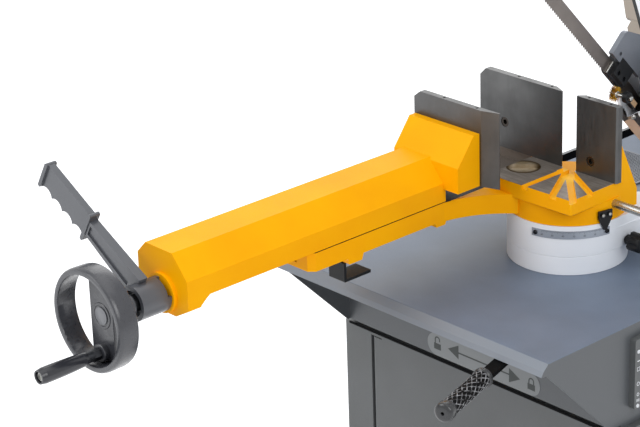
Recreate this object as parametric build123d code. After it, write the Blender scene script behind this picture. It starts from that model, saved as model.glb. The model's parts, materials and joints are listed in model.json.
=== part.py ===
from build123d import *
import math
import os

# Swivel-head metal cutting band saw: stand, chip pan, turret, table with vise, and a canted saw bow.
# Millimetres. Everything is drawn about the turret axis, with Z from the floor, and is moved at export so
# that the origin lies at the centre of the floor bolt pattern. +X runs along the workpiece to the right,
# +Y runs from the operator to the rear.

# Frame
TABLE = 930.0            # table top above the floor
ORIGIN_X = -34.0         # centre of the floor bolts, from the turret axis
ORIGIN_Y = 102.0

# Stand and pan
CABINET = (-364.0, 288.0, -196.0, 400.0)
CABINET_TOP = TABLE - 335.5
PLINTH_HEIGHT = 80.0
PLINTH_INSET = 25.0
SHEET = 3.0
FRONT_FRAME = 20.0
FLOOR_BOLT_SPAN = (540.0, 490.0)
FLOOR_BOLT_RADIUS = 7.0
DOOR = (-292.0, 226.0, 112.0, CABINET_TOP - 10.0)
DOOR_THICKNESS = 18.0
DOOR_GAP = 2.0
PAN_LEFT, PAN_RIGHT = -352.0, 275.0
PAN_FRONT, PAN_REAR = -367.0, 600.0
PAN_FLOOR = TABLE - 154.0
PAN_LIP = 19.0           # drop of the folded lip
PAN_FOLD = 17.0          # depth of the folded lip
PAN_LEFT_FOLD = 37.0
PAN_WALL = CABINET[2]    # front wall below the overhang
GUSSET = (-356.0, TABLE - 174.0)   # upper front corner of the end gussets
PAN_REAR_WALL = 42.0
PAN_SEAM = 6.0           # recessed joint between pan and cabinet
DRAIN = (-262.0, -112.0, 318.0, 437.0)
PANEL = (-155.0, 58.0, TABLE - 304.0, TABLE - 178.0)
PANEL_FACE = PAN_RIGHT + 12.0
SWITCH = (28.0, TABLE - 210.0)
START = (28.0, TABLE - 268.0)
STOP = (-32.0, TABLE - 240.0)

# Turret
TURRET_RADIUS = 104.5
POST_RADIUS = 44.95
RING_HEIGHT = 33.5
ARM_TOP = TABLE - 64.5
ARM_REAR_TOP = TABLE - 82.0
STUD_RADIUS = 15.0
KNOB_Y, KNOB_Z = 32.0, TABLE - 110.0
RUNNING = 0.05           # radial clearance of a running fit

# Table and vise
TROUGH_ANGLES = (0, 30, 45, 60)
TROUGH_WIDTH = 13.0
TROUGH_DEPTH = 8.0
TABLE_PLATE = 27.0
TABLE_FRONT, TABLE_RIGHT = -110.5, 101.5
JAW_HEIGHT = 136.6
JAW_THICK = 13.0
FIXED_LEFT, FIXED_RIGHT = (-207.0, -14.0), (18.0, 108.0)
MOVING_JAW_FACE = -151.0
BED = (-207.0, -87.0, -518.0)
BED_TOP, BED_BOTTOM = TABLE - 23.0, TABLE - 56.0
SLIDE_FOOT = TABLE - 22.0
SLIDE_END = -774.0
SCREW_X, SCREW_Z = -147.0, TABLE - 22.5
SCREW_RADIUS = 12.0
JOURNAL_RADIUS = 14.0
HANDWHEEL_RADIUS = 83.0
HANDWHEEL_HALF = 14.2    # half the rim's width
HANDWHEEL_Y = -902.0
CRANK_RADIUS = 60.0
LEVER_TURN = 150.0       # lever direction, from +X towards +Z
LOCK_MOUTH = (184.0, -366.0)   # where the lock lever leaves the pan
LOCK_ANGLE = 17.0        # outer part of the cranked lever, from the front towards +X
LOCK_BAR = (TABLE - 181.0, TABLE - 175.0)
LOCK_SLOT = (-126.0, 142.0)       # slot for the lock lever in the pan's front wall
LOCK_GRIP = (56.0, 196.0)      # ends of the grip, along the lever from the mouth
ROD_Z = TABLE - 36.0
ROD_RADIUS = 7.5
BOLT_LEFT = (-148.0, 0.0, TABLE + 48.0)
BOLT_RIGHT = (50.0, 0.0, TABLE + 26.0)
MOVING_BOLTS = ((-160.0, TABLE + 56.0), (-90.0, TABLE + 56.0))

# Saw bow, drawn lowered and then raised about its pivot
HINGE_Y, HINGE_Z = 262.0, TABLE + 60.0
RAISED = 47.0
CANT = 45.0              # lean of the wheel plane to the right
BLADE_WIDTH, BLADE_THICK = 27.0, 0.9
TOOTH_PITCH, TOOTH_DEPTH = 6.35, 2.6
TEETH_LOW = TABLE - 5.0
WHEEL_RADIUS = 147.5
WHEEL_Y = 148.45         # wheel centres, up the canted plane from the blade line
DRIVE_X, IDLER_X = 312.0, -451.0
CUT_ZONE = (-285.0, 118.0)
WEB_FACE, WEB_BACK = -40.0, -54.0
RIM_EDGE = 32.0
SIDE_EDGE = 50.0
PIVOT_RADIUS = 20.0
BARREL = (174.0, 262.0)
BARREL_RADIUS = 38.0
BOW_POINTS = [(150, -24), (475, -24), (475, 322), (-616, 322), (-616, -24), (-276, -24), (-276, 140),
              (-216, 205), (94, 205), (150, 150)]
BOW_RADII = [12, 150, 150, 150, 150, 12, 60, 60, 60, 60]
TENSION_Z = WEB_BACK - 22.0
TRIGGER_X, TRIGGER_Y = -634.0, 213.0
REAR_GUIDE, FRONT_GUIDE = 82.0, -268.0
GUIDE_TOP = TEETH_LOW + BLADE_WIDTH
SLOT = (-0.75, 0.75)
SLOT_TOP = GUIDE_TOP + 0.35
BRUSH_Y, BRUSH_Z = 123.0, TABLE - 18.0
BRUSH_RADIUS = 14.0
BRUSH_ROWS, BRUSH_RAYS = 6, 50

# Planes of the bow: x along the blade, y up the wheel plane and z across it to the lower right
BLADE_LINE = TEETH_LOW + BLADE_WIDTH / 2
WHEEL_PLANE = Plane(origin=(0, 0, BLADE_LINE), x_dir=(0, 1, 0),
                    z_dir=(math.cos(math.radians(CANT)), 0, -math.sin(math.radians(CANT))))
RAISE = Pos(0, HINGE_Y, HINGE_Z) * Rot(-RAISED, 0, 0) * Pos(0, -HINGE_Y, -HINGE_Z)

PARTS = {}


def keep(name, *shapes):
    PARTS[name] = list(shapes)


def block(x, y, z):
    size = [b - a for a, b in (x, y, z)]
    middle = [(a + b) / 2 for a, b in (x, y, z)]
    return Pos(*middle) * Box(*size)


def rod(start, end, radius):
    axis = Vector(*end) - Vector(*start)
    base = Plane(origin=start, z_dir=axis)
    return extrude(base * Circle(radius), amount=axis.length)


def tube(start, end, outer, inner):
    return rod(start, end, outer) - rod(start, end, inner)


def outline(*points):
    return make_face(Polyline(*points, close=True))


def rounded(points, radii):
    return make_face(FilletPolyline(*points, radius=radii, close=True))


def prism(plane, face, start, end):
    return extrude(plane.offset(start) * face, amount=end - start)


def along_x(face, x):
    return prism(Plane.YZ, face, x[0], x[1])


def along_y(face, y):
    front = Plane(origin=(0, 0, 0), x_dir=(1, 0, 0), z_dir=(0, -1, 0))
    return prism(front, face, -y[1], -y[0])


def along_z(face, z):
    return prism(Plane.XY, face, z[0], z[1])


# Stand

def stand_cabinet():
    x0, x1, y0, y1 = CABINET
    shell = block((x0, x1), (y0, y1), (PLINTH_HEIGHT, CABINET_TOP))
    shell = fillet(shell.edges().filter_by(Axis.Z), 6)
    room = block((x0 + SHEET, x1 - SHEET), (y0 + FRONT_FRAME, y1 - SHEET),
                 (PLINTH_HEIGHT, CABINET_TOP - SHEET))
    px = (x0 + PLINTH_INSET, x1 - PLINTH_INSET)
    py = (y0 + PLINTH_INSET, y1 - PLINTH_INSET)
    plinth = block(px, py, (0, PLINTH_HEIGHT + SHEET))
    pit = block((px[0] + SHEET, px[1] - SHEET), (py[0] + SHEET, py[1] - SHEET), (8, CABINET_TOP - SHEET))
    body = shell - room + plinth - pit
    floor = block((x0 + SHEET, x1 - SHEET), (y0 + FRONT_FRAME, y1 - SHEET),
                  (PLINTH_HEIGHT, PLINTH_HEIGHT + SHEET))
    body = body + floor - pit
    dx0, dx1, dz0, dz1 = DOOR
    gap = DOOR_GAP
    body -= block((dx0 - gap, dx1 + gap), (y0 - 1, y0 + FRONT_FRAME + 1), (dz0 - gap, dz1 + gap))
    half = DOOR_THICKNESS / 2
    pin = (dx0 + half, y0 + half)
    body -= rod((*pin, dz0 - 14), (*pin, dz1 + 8), 4 + RUNNING)
    for sx in (-0.5, 0.5):
        for sy in (-0.5, 0.5):
            hole = (ORIGIN_X + sx * FLOOR_BOLT_SPAN[0], ORIGIN_Y + sy * FLOOR_BOLT_SPAN[1])
            body -= rod((*hole, -1), (*hole, 20), FLOOR_BOLT_RADIUS)
    louvre = Plane.XZ.offset(-y1 - 1)
    for row in range(6):
        slot = Pos(ORIGIN_X, 480 - 22 * row) * SlotOverall(220, 8)
        body -= extrude(louvre * slot, amount=SHEET + 2)
    return body


def cabinet_door():
    x0, x1, z0, z1 = DOOR
    y0 = CABINET[2]
    half = DOOR_THICKNESS / 2
    panel = block((x0 + half, x1), (y0, y0 + DOOR_THICKNESS), (z0, z1))
    panel += rod((x0 + half, y0 + half, z0), (x0 + half, y0 + half, z1), half)
    hollow = block((x0 + 22, x1 - SHEET), (y0 + SHEET, y0 + DOOR_THICKNESS + 1), (z0 + SHEET, z1 - SHEET))
    panel -= hollow
    pin = (x0 + half, y0 + half)
    panel += rod((*pin, z0 - 12), (*pin, z0), 4)
    panel += rod((*pin, z1), (*pin, z1 + 7), 4)
    lock = (x1 - 32, y0, (z0 + z1) / 2)
    panel += rod((lock[0], y0 + SHEET, lock[2]), (lock[0], y0 - 5, lock[2]), 13)
    panel -= block((lock[0] - 2, lock[0] + 2), (y0 - 6, y0 - 2), (lock[2] - 8, lock[2] + 8))
    return panel


def pan_profile(inset):
    seam = CABINET_TOP + PAN_SEAM + inset
    foot = CABINET_TOP - 40 if inset else CABINET_TOP
    top = PAN_FLOOR - inset
    low = top - PAN_LIP
    front, rear = PAN_FRONT + inset, PAN_REAR - inset
    neck = CABINET[2] + 22 + inset
    slope = (PAN_WALL - 5 - GUSSET[0]) / (GUSSET[1] - CABINET_TOP - PAN_SEAM)
    gusset_foot = GUSSET[0] + slope * (GUSSET[1] - seam) + 1.4 * inset
    return outline((front + PAN_FOLD - inset / 2, top), (front + 5, low + 8), (front + inset / 4, low),
                   (GUSSET[0] + 1.4 * inset, min(GUSSET[1], low - 1)), (gusset_foot, seam), (neck, seam),
                   (neck, foot),
                   (CABINET[3] - 6 - inset, foot), (CABINET[3] - 6 - inset, CABINET_TOP + PAN_SEAM),
                   (rear, CABINET_TOP + 110), (rear, top))


def pan_end(inset):
    top = PAN_FLOOR - inset
    foot = CABINET_TOP - (50 if inset else 0)
    left, right = PAN_LEFT + inset, PAN_RIGHT - inset
    low = top - PAN_LIP
    return outline((left + PAN_LEFT_FOLD, top), (left + 5, low + 5), (left, low), (left, foot), (right, foot),
                   (right, top))


def chip_pan():
    outer = along_x(pan_profile(0), (PAN_LEFT, PAN_RIGHT))
    outer &= along_y(pan_end(0), (PAN_FRONT - 1, PAN_REAR + 1))
    inner = along_x(pan_profile(SHEET), (PAN_LEFT, PAN_RIGHT))
    inner &= along_y(pan_end(SHEET), (PAN_FRONT - 1, PAN_REAR + 1))
    pan = outer - inner
    seam = CABINET_TOP + PAN_SEAM
    pan -= block((PAN_LEFT + SHEET, PAN_RIGHT - SHEET), (PAN_FRONT - 5, PAN_WALL),
                 (seam - 1, PAN_FLOOR - PAN_LIP))
    pan += block((PAN_LEFT + 1, PAN_RIGHT - 1), (PAN_WALL, PAN_WALL + SHEET), (seam, PAN_FLOOR - 1))
    top = PAN_FLOOR + PAN_REAR_WALL
    rear_wall = outline((PAN_REAR - SHEET, PAN_FLOOR - SHEET), (PAN_REAR, PAN_FLOOR - SHEET), (PAN_REAR, top),
                        (PAN_REAR - SHEET, top))
    left = PAN_LEFT + PAN_LEFT_FOLD
    pan += along_x(rear_wall, (left, PAN_RIGHT))
    wing = outline((PAN_REAR, PAN_FLOOR - SHEET), (PAN_REAR, top), (PAN_REAR - 20, top),
                   (PAN_REAR - 45, PAN_FLOOR - SHEET))
    pan += along_x(wing, (left, left + SHEET))
    pan += along_x(wing, (PAN_RIGHT - SHEET, PAN_RIGHT))
    x0, x1, y0, y1 = DRAIN
    pan -= block((x0 + 14, x1 - 14), (y0 + 14, y1 - 14), (PAN_FLOOR - 20, PAN_FLOOR + 1))
    pan -= rod((0, 0, PAN_FLOOR - 20), (0, 0, PAN_FLOOR + 1), 40)
    return pan - block(LOCK_SLOT, (PAN_WALL - 2, PAN_WALL + SHEET + 2), (LOCK_BAR[0] - 3, LOCK_BAR[1] + 2))


def chip_screen():
    x0, x1, y0, y1 = DRAIN
    plate = block((x0, x1), (y0, y1), (PAN_FLOOR, PAN_FLOOR + 3))
    holes = Sketch() + GridLocations(13, 13, 8, 6) * Circle(4.2)
    return plate - extrude(Pos((x0 + x1) / 2, (y0 + y1) / 2, PAN_FLOOR - 1) * holes, amount=6)


# Turret

def turret_ring():
    z0, z1 = PAN_FLOOR, PAN_FLOOR + RING_HEIGHT
    ring = rod((0, 0, z0), (0, 0, z1), TURRET_RADIUS)
    ring = fillet(ring.edges().group_by(Axis.Z)[0], 1)
    return ring - rod((0, 0, z0 - 1), (0, 0, z1 + 1), POST_RADIUS + 0.3)


def turret_post():
    post = rod((0, 0, PAN_FLOOR), (0, 0, TABLE - 64), POST_RADIUS)
    post += rod((0, 0, PAN_FLOOR - 46), (0, 0, PAN_FLOOR), STUD_RADIUS)
    nut = along_z(RegularPolygon(27, 6), (PAN_FLOOR - 44, PAN_FLOOR - 31))
    return post + nut


def swivel_arm():
    z0 = PAN_FLOOR + RING_HEIGHT + 0.5
    ring = rod((0, 0, z0), (0, 0, ARM_TOP), TURRET_RADIUS)
    plan = rounded([(104.4, -4), (108, 118), (BARREL[1], 238), (BARREL[1], 302), (BARREL[0], 302), (24, 156),
                    (-86, 60)], [1, 60, 20, 20, 20, 60, 20])
    slab = along_z(plan, (z0, ARM_REAR_TOP))
    arm = ring + slab
    hub_web = along_z(rounded([(104.4, -4), (104.4, 104), (40, 120), (-86, 60)], [1, 30, 30, 20]),
                      (z0, ARM_TOP))
    arm += hub_web
    riser = outline((HINGE_Y - 36, ARM_REAR_TOP - 10), (HINGE_Y - 22, HINGE_Z - 30),
                    (HINGE_Y + 22, HINGE_Z - 30),
                    (HINGE_Y + 40, ARM_REAR_TOP - 10))
    arm += along_x(riser, BARREL)
    brace = outline((HINGE_Y - 36, ARM_REAR_TOP - 6), (HINGE_Y - 24, HINGE_Z - 60), (150, ARM_REAR_TOP - 6))
    for x in (BARREL[0] + 14, BARREL[1] - 26):
        arm += along_x(brace, (x, x + 12))
    arm += rod((BARREL[0], HINGE_Y, HINGE_Z), (BARREL[1], HINGE_Y, HINGE_Z), BARREL_RADIUS)
    arm -= rod((BARREL[0] - 1, HINGE_Y, HINGE_Z), (BARREL[1] + 1, HINGE_Y, HINGE_Z), PIVOT_RADIUS + RUNNING)
    arm -= rod((0, 0, z0 - 1), (0, 0, ARM_TOP + 1), POST_RADIUS + RUNNING)
    arm -= rod((TURRET_RADIUS - 25, KNOB_Y, KNOB_Z), (TURRET_RADIUS + 20, KNOB_Y, KNOB_Z), 6 + RUNNING)
    return arm


def index_knob():
    x = TURRET_RADIUS
    pin = rod((x - 20, KNOB_Y, KNOB_Z), (x + 8, KNOB_Y, KNOB_Z), 6)
    collar = rod((x + 4, KNOB_Y, KNOB_Z), (x + 14, KNOB_Y, KNOB_Z), 9)
    grip = rod((x + 14, KNOB_Y, KNOB_Z), (x + 38, KNOB_Y, KNOB_Z), 17)
    grip = fillet(grip.edges().group_by(Axis.X)[-1], 6)
    for turn in range(6):
        a = math.radians(60 * turn)
        centre = (KNOB_Y + 20 * math.cos(a), KNOB_Z + 20 * math.sin(a))
        grip -= rod((x + 12, *centre), (x + 40, *centre), 6)
    return pin + collar + grip


def mitre_scale():
    z = (TABLE - 87, TABLE - 73)
    ring = tube((0, 0, z[0]), (0, 0, z[1]), TURRET_RADIUS + 1.2, TURRET_RADIUS)
    reach = 200.0
    corners = [(0, 0)]
    for angle in (-83, -60, -30, -6):
        a = math.radians(angle)
        corners.append((reach * math.cos(a), reach * math.sin(a)))
    return ring & along_z(outline(*corners), z)


def angle_pointer():
    a = math.radians(-12.4)
    face = Plane(origin=((TURRET_RADIUS - 1) * math.cos(a), (TURRET_RADIUS - 1) * math.sin(a), TABLE - 57),
                 x_dir=(-math.sin(a), math.cos(a), 0), z_dir=(math.cos(a), math.sin(a), 0))
    blade = outline((-14, 16), (14, 16), (14, 2), (2.5, -19), (-2.5, -19), (-14, 2))
    plate = extrude(face.offset(2.6) * blade, amount=3)
    for x in (-7, 7):
        plate += extrude(face.offset(5.6) * (Pos(x, 9) * Circle(4)), amount=2.5)
    boss = extrude(face.offset(-4) * (Pos(0, 9) * Rectangle(24, 12)), amount=6.6)
    return plate + boss - rod((0, 0, TABLE - 90), (0, 0, TABLE), TURRET_RADIUS - 1)


# Table and vise

def saw_table():
    top, under = TABLE, TABLE - TABLE_PLATE
    drum = rod((0, 0, TABLE - 64), (0, 0, under), TURRET_RADIUS - 1)
    plate = along_z(outline((-84, JAW_THICK), (-84, TABLE_FRONT + 2), (-36, TABLE_FRONT),
                            (TABLE_RIGHT - 2, TABLE_FRONT + 4),
                            (TABLE_RIGHT, TABLE_FRONT + 8), (TABLE_RIGHT, JAW_THICK)), (under, top))
    haunch = loft([Plane.XY.offset(under) * outline((-84, JAW_THICK), (-84, TABLE_FRONT + 2),
                                                    (-36, TABLE_FRONT),
                                                    (TABLE_RIGHT - 2, TABLE_FRONT + 4),
                                                    (TABLE_RIGHT, TABLE_FRONT + 8), (TABLE_RIGHT, JAW_THICK)),
                   Plane.XY.offset(under - 14) * outline((-70, JAW_THICK - 4), (-70, -84), (-30, -88),
                                                         (70, -84),
                                                         (82, -76), (82, JAW_THICK - 4))])
    bed_x = BED[:2]
    bed = block(bed_x, (BED[2], 40), (BED_BOTTOM, BED_TOP))
    bed = chamfer(bed.edges().filter_by(Axis.Z).group_by(Axis.Y)[0], 10)
    sweep_web = make_face([Line((bed_x[1] - 4, -216), (bed_x[1], -214)),
                           ThreePointArc((bed_x[1], -214), (-68, -160), (-20, -104)),
                           Line((-20, -104), (-20, 0)), Line((-20, 0), (bed_x[1] - 4, 0)),
                           Line((bed_x[1] - 4, 0), (bed_x[1] - 4, -216))])
    table = drum + plate + haunch + bed + along_z(sweep_web, (BED_BOTTOM - 2, BED_TOP))
    for y0, y1, drop in ((-438, -402, 11), (-236, -208, 8)):
        lug = outline((y0, BED_BOTTOM), (y0 + 4, BED_BOTTOM - drop), (y1 - 4, BED_BOTTOM - drop),
                      (y1, BED_BOTTOM))
        for x in (bed_x[0], bed_x[1] - 18):
            table += along_x(lug, (x, x + 18))
    table -= block((SCREW_X - 24, SCREW_X + 24), (BED[2] - 1, -50), (BED_TOP - 24, TABLE + 1))
    rib_left = outline((JAW_THICK, BED_BOTTOM), (33, BED_BOTTOM), (26, TABLE + 92), (JAW_THICK, TABLE + 104))
    table += along_x(rib_left, (-205, -98))
    for x in (-205, -112):
        gusset = outline((24, BED_BOTTOM), (78, BED_BOTTOM), (78, TABLE - 44), (38, TABLE - 12),
                         (24, TABLE + 50))
        table += along_x(gusset, (x, x + 12))
    table += block((-205, -98), (20, 78), (BED_BOTTOM, BED_TOP - 16))
    rear_floor = along_z(outline((-100, 0), (-20, 60), (TABLE_RIGHT, 62), (TABLE_RIGHT, 0)),
                         (TABLE - 56, TABLE - 34))
    table += rear_floor
    fin = outline((JAW_THICK, TABLE - 40), (62, TABLE - 40), (62, TABLE - 26), (20, TABLE + 64),
                  (JAW_THICK, TABLE + 64))
    for x in (34, TABLE_RIGHT - 12):
        table += along_x(fin, (x, x + 12))
    table += block((34, TABLE_RIGHT), (JAW_THICK, JAW_THICK + 9), (TABLE - 40, TABLE + 52))
    for angle in TROUGH_ANGLES:
        trough = block((-TROUGH_WIDTH / 2, TROUGH_WIDTH / 2), (-220, 44), (TABLE - TROUGH_DEPTH, TABLE + 1))
        table -= Rot(0, 0, angle) * trough
    table -= along_z(outline((-9, 14), (-9, -20), (9, -26), (20, -14), (12, 14)), (TABLE - 14, TABLE + 1))
    recess = Pos(-60, -46) * Rot(0, 0, 43) * SlotOverall(56, 26)
    table -= along_z(recess, (TABLE - 6, TABLE + 1))
    table -= rod((60, 2, ROD_Z), (TABLE_RIGHT + 2, 2, ROD_Z), ROD_RADIUS)
    table -= rod(BOLT_LEFT, (BOLT_LEFT[0], 60, BOLT_LEFT[2]), 5.2)
    table -= rod(BOLT_RIGHT, (BOLT_RIGHT[0], 60, BOLT_RIGHT[2]), 5.2)
    return table


def jaw_bolt(x, z, face_y, into):
    head = rod((x, face_y + into * 1.0, z), (x, face_y + into * 8.0, z), 8.8)
    head -= extrude(Plane(origin=(x, face_y + into * 1.0, z), z_dir=(0, into, 0)) * RegularPolygon(5, 6),
                    amount=4.5)
    return head + rod((x, face_y + into * 8.0, z), (x, face_y + into * 24.0, z), 5)


def bolt_seat(jaw, x, z, face_y, into):
    jaw -= rod((x, face_y - into, z), (x, face_y + into * 8.0, z), 9)
    return jaw - rod((x, face_y - into, z), (x, face_y + into * 30.0, z), 5.2)


def fixed_jaw_left():
    x0, x1 = FIXED_LEFT
    jaw = along_z(outline((x0, 0), (x1, 0), (x1 - 1, 2), (x1 - 24, JAW_THICK), (x0, JAW_THICK)),
                  (TABLE + 0.02, TABLE + JAW_HEIGHT))
    jaw &= along_y(outline((x0, TABLE), (x1, TABLE), (x1, TABLE + JAW_HEIGHT), (x0 + 13, TABLE + JAW_HEIGHT),
                           (x0, TABLE + JAW_HEIGHT - 13)), (-1, JAW_THICK + 1))
    for x in (-120, -44):
        jaw -= rod((x, 7, TABLE + JAW_HEIGHT - 14), (x, 7, TABLE + JAW_HEIGHT + 1), 2.6)
    return bolt_seat(jaw, BOLT_LEFT[0], BOLT_LEFT[2], 0, 1)


def fixed_jaw_right():
    x0, x1 = FIXED_RIGHT
    jaw = along_z(outline((x0, 0), (x1 - 3, 0), (x1, 3), (x1, JAW_THICK), (x0 + 10, JAW_THICK), (x0, 3)),
                  (TABLE + 0.02, TABLE + JAW_HEIGHT))
    for x in (40, 88):
        jaw -= rod((x, 7, TABLE + JAW_HEIGHT - 14), (x, 7, TABLE + JAW_HEIGHT + 1), 2.6)
    return bolt_seat(jaw, BOLT_RIGHT[0], BOLT_RIGHT[2], 0, 1)


def moving_jaw():
    x0, x1 = FIXED_LEFT[0], -17.0
    y0, y1 = MOVING_JAW_FACE - 12, MOVING_JAW_FACE
    jaw = along_z(outline((x0, y0), (x1 - 32, y0), (x1, y1 - 1.5), (x1, y1), (x0, y1)),
                  (TABLE + 0.8, TABLE + JAW_HEIGHT))
    jaw &= along_y(outline((x0, TABLE), (x1, TABLE), (x1, TABLE + JAW_HEIGHT), (x0 + 14, TABLE + JAW_HEIGHT),
                           (x0, TABLE + JAW_HEIGHT - 11)), (y0 - 1, y1 + 1))
    for x in (-140, -64):
        jaw -= rod((x, y0 + 6, TABLE + JAW_HEIGHT - 14), (x, y0 + 6, TABLE + JAW_HEIGHT + 1), 2.6)
    for x, z in MOVING_BOLTS:
        jaw = bolt_seat(jaw, x, z, y1, -1)
    return jaw


def slide_section(inset):
    x0, x1 = BED[0] + inset, BED[1] - inset
    foot = SLIDE_FOOT - (20 if inset else 0)
    top = TABLE + 50.5 - inset
    return outline((x0, foot), (x0, TABLE + 29), (x0 + 21, top), (-121 - inset * 0.4, top),
                   (x1, TABLE + 11.5), (x1, foot))


def vise_slide():
    jaw_back = MOVING_JAW_FACE - 12
    body = along_y(slide_section(0), (SLIDE_END, -210))
    body -= along_y(slide_section(9), (SLIDE_END + 26, -216))
    nose = outline((BED[0], SLIDE_FOOT), (-178, TABLE - 56), (-119, TABLE - 56), (BED[1], TABLE - 38),
                   (BED[1], SLIDE_FOOT))
    body += along_y(nose, (SLIDE_END, SLIDE_END + 26))
    toe = outline((SLIDE_END + 24, TABLE - 38), (SLIDE_END + 24, SLIDE_FOOT + 1),
                  (SLIDE_END + 46, SLIDE_FOOT + 1),
                  (SLIDE_END + 36, SLIDE_FOOT - 6))
    body += along_x(toe, (BED[1] - 9, BED[1]))
    body += along_x(toe, (BED[0], BED[0] + 9))
    body += rod((SCREW_X, SLIDE_END - 6, SCREW_Z), (SCREW_X, SLIDE_END + 26, SCREW_Z), 33)
    head = outline((jaw_back, TABLE + 1), (jaw_back, TABLE + 95), (jaw_back - 14, TABLE + 95),
                   (jaw_back - 52, TABLE + 46),
                   (jaw_back - 52, TABLE + 1))
    body += along_x(head, (-205, -53))
    body -= rod((SCREW_X, SLIDE_END - 8, SCREW_Z), (SCREW_X, SLIDE_END + 40, SCREW_Z),
                JOURNAL_RADIUS + RUNNING)
    for x, z in MOVING_BOLTS:
        body -= rod((x, jaw_back + 1, z), (x, jaw_back - 16, z), 5.2)
    return body


def vise_screw():
    screw = rod((SCREW_X, SLIDE_END + 28, SCREW_Z), (SCREW_X, -232, SCREW_Z), SCREW_RADIUS)
    screw += rod((SCREW_X, HANDWHEEL_Y + 6, SCREW_Z), (SCREW_X, SLIDE_END + 28, SCREW_Z), JOURNAL_RADIUS)
    screw += rod((SCREW_X, SLIDE_END + 27, SCREW_Z), (SCREW_X, SLIDE_END + 37, SCREW_Z), 19)
    screw += rod((SCREW_X, -884, SCREW_Z), (SCREW_X, -842, SCREW_Z), 19)
    return chamfer(screw.edges().group_by(Axis.Y)[-1], 2)


def vise_nut():
    nut = block((SCREW_X - 23.8, SCREW_X + 23.8), (-500, -436), (BED_TOP - 24, BED_TOP - 1.5))
    return nut - rod((SCREW_X, -502, SCREW_Z), (SCREW_X, -434, SCREW_Z), SCREW_RADIUS + 0.3)


def handwheel():
    y, r, half = HANDWHEEL_Y, HANDWHEEL_RADIUS, HANDWHEEL_HALF
    axis = Axis((SCREW_X, y, SCREW_Z), (0, 1, 0))
    ring = Plane(origin=(SCREW_X, y, SCREW_Z), x_dir=(1, 0, 0), z_dir=(0, -1, 0))
    side = Plane(origin=(SCREW_X, y, SCREW_Z), x_dir=(1, 0, 0), z_dir=(0, 0, 1))
    section = rounded([(r - 14, half), (r - 3, half), (r, 4 - half), (r - 4, -half), (r - 11, -half)],
                      [3, 4, 4, 4, 4])
    rim = revolve(side * section, axis=axis)
    web = extrude(ring.offset(-half + 1) * Rectangle(46, 2 * r - 14), amount=9)
    hub = extrude(ring.offset(-half + 1) * Circle(23), amount=12)
    pad = extrude(ring.offset(-half + 1) * (Pos(0, -CRANK_RADIUS) * Circle(15)), amount=16)
    wheel = rim + web + hub + pad
    wheel -= rod((SCREW_X, y + 20, SCREW_Z), (SCREW_X, y + 6, SCREW_Z), JOURNAL_RADIUS)
    wheel += extrude(ring.offset(-half + 12) * Circle(16), amount=4)
    grip_z = SCREW_Z - CRANK_RADIUS
    return wheel - rod((SCREW_X, y + 20, grip_z), (SCREW_X, y - 10, grip_z), 6)


def crank_axle():
    y, z = HANDWHEEL_Y, SCREW_Z - CRANK_RADIUS
    axle = rod((SCREW_X, y + 8, z), (SCREW_X, y - 112, z), 6)
    nut = Plane(origin=(SCREW_X, y - 3.4, z), x_dir=(1, 0, 0), z_dir=(0, -1, 0))
    axle += extrude(nut * RegularPolygon(9.8, 6), amount=14)
    axle += rod((SCREW_X, y - 16, z), (SCREW_X, y - 28, z), 9)
    return axle + rod((SCREW_X, y - 106, z), (SCREW_X, y - 112, z), 8)


def crank_grip():
    y, z = HANDWHEEL_Y - 28.4, SCREW_Z - CRANK_RADIUS
    base = Plane(origin=(SCREW_X, y, z), x_dir=(1, 0, 0), z_dir=(0, 0, 1))
    body = make_face([Line((6.05, 0), (10, 0)), Line((10, 0), (11, -5)),
                      Spline((11, -5), (12.6, -40), (13, -80)),
                      Line((13, -80), (11.4, -89)), Line((11.4, -89), (8.8, -89)),
                      Line((8.8, -89), (8.8, -77)),
                      Line((8.8, -77), (6.05, -77)), Line((6.05, -77), (6.05, 0))])
    return revolve(base * body, axis=Axis((SCREW_X, y, z), (0, 1, 0)))


def clamp_lever():
    y0, y1 = -836.0, SLIDE_END - 6.8
    hub = tube((SCREW_X, y0, SCREW_Z), (SCREW_X, y1, SCREW_Z), 29, JOURNAL_RADIUS + RUNNING)
    hub -= tube((SCREW_X, y0 - 1, SCREW_Z), (SCREW_X, y0 + 9, SCREW_Z), 21.5, JOURNAL_RADIUS)
    step = Plane(origin=(SCREW_X, y1, SCREW_Z), x_dir=(1, 0, 0), z_dir=(0, -1, 0))
    notch = outline((0, 0), (0, 60), (60, 60), (60, 8))
    hub -= extrude(step.offset(-1) * notch, amount=8) - rod((SCREW_X, y1 - 20, SCREW_Z),
                                                            (SCREW_X, y1 + 2, SCREW_Z), 18)
    a = math.radians(LEVER_TURN)
    mid = -815.0
    face = Plane(origin=(SCREW_X, mid, SCREW_Z), x_dir=(math.cos(a), 0, math.sin(a)), z_dir=(0, -1, 0))
    offset_up = -15.0
    shaft = outline((14, offset_up - 19), (150, offset_up - 15), (150, offset_up + 15), (14, offset_up + 24))
    lever = extrude(face.offset(-8) * shaft, amount=16)
    channel = outline((34, offset_up - 11), (144, offset_up - 9), (144, offset_up + 9), (34, offset_up + 14))
    for side in (5, -9):
        lever -= extrude(face.offset(side) * channel, amount=4)
    grip = Pos(212, offset_up + 2) * Rectangle(124, 50)
    for i in range(4):
        grip -= Pos(168 + 29 * i, offset_up + 35) * Circle(17)
    lever += extrude(face.offset(-6) * grip, amount=12)
    for x, width in ((152, 56), (272, 50)):
        lever += extrude(face.offset(-10) * (Pos(x, offset_up + 1) * RectangleRounded(7, width, 3)),
                         amount=20)
    lever -= rod((SCREW_X, y0 - 4, SCREW_Z), (SCREW_X, y1, SCREW_Z), 28)
    return hub + lever


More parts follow.
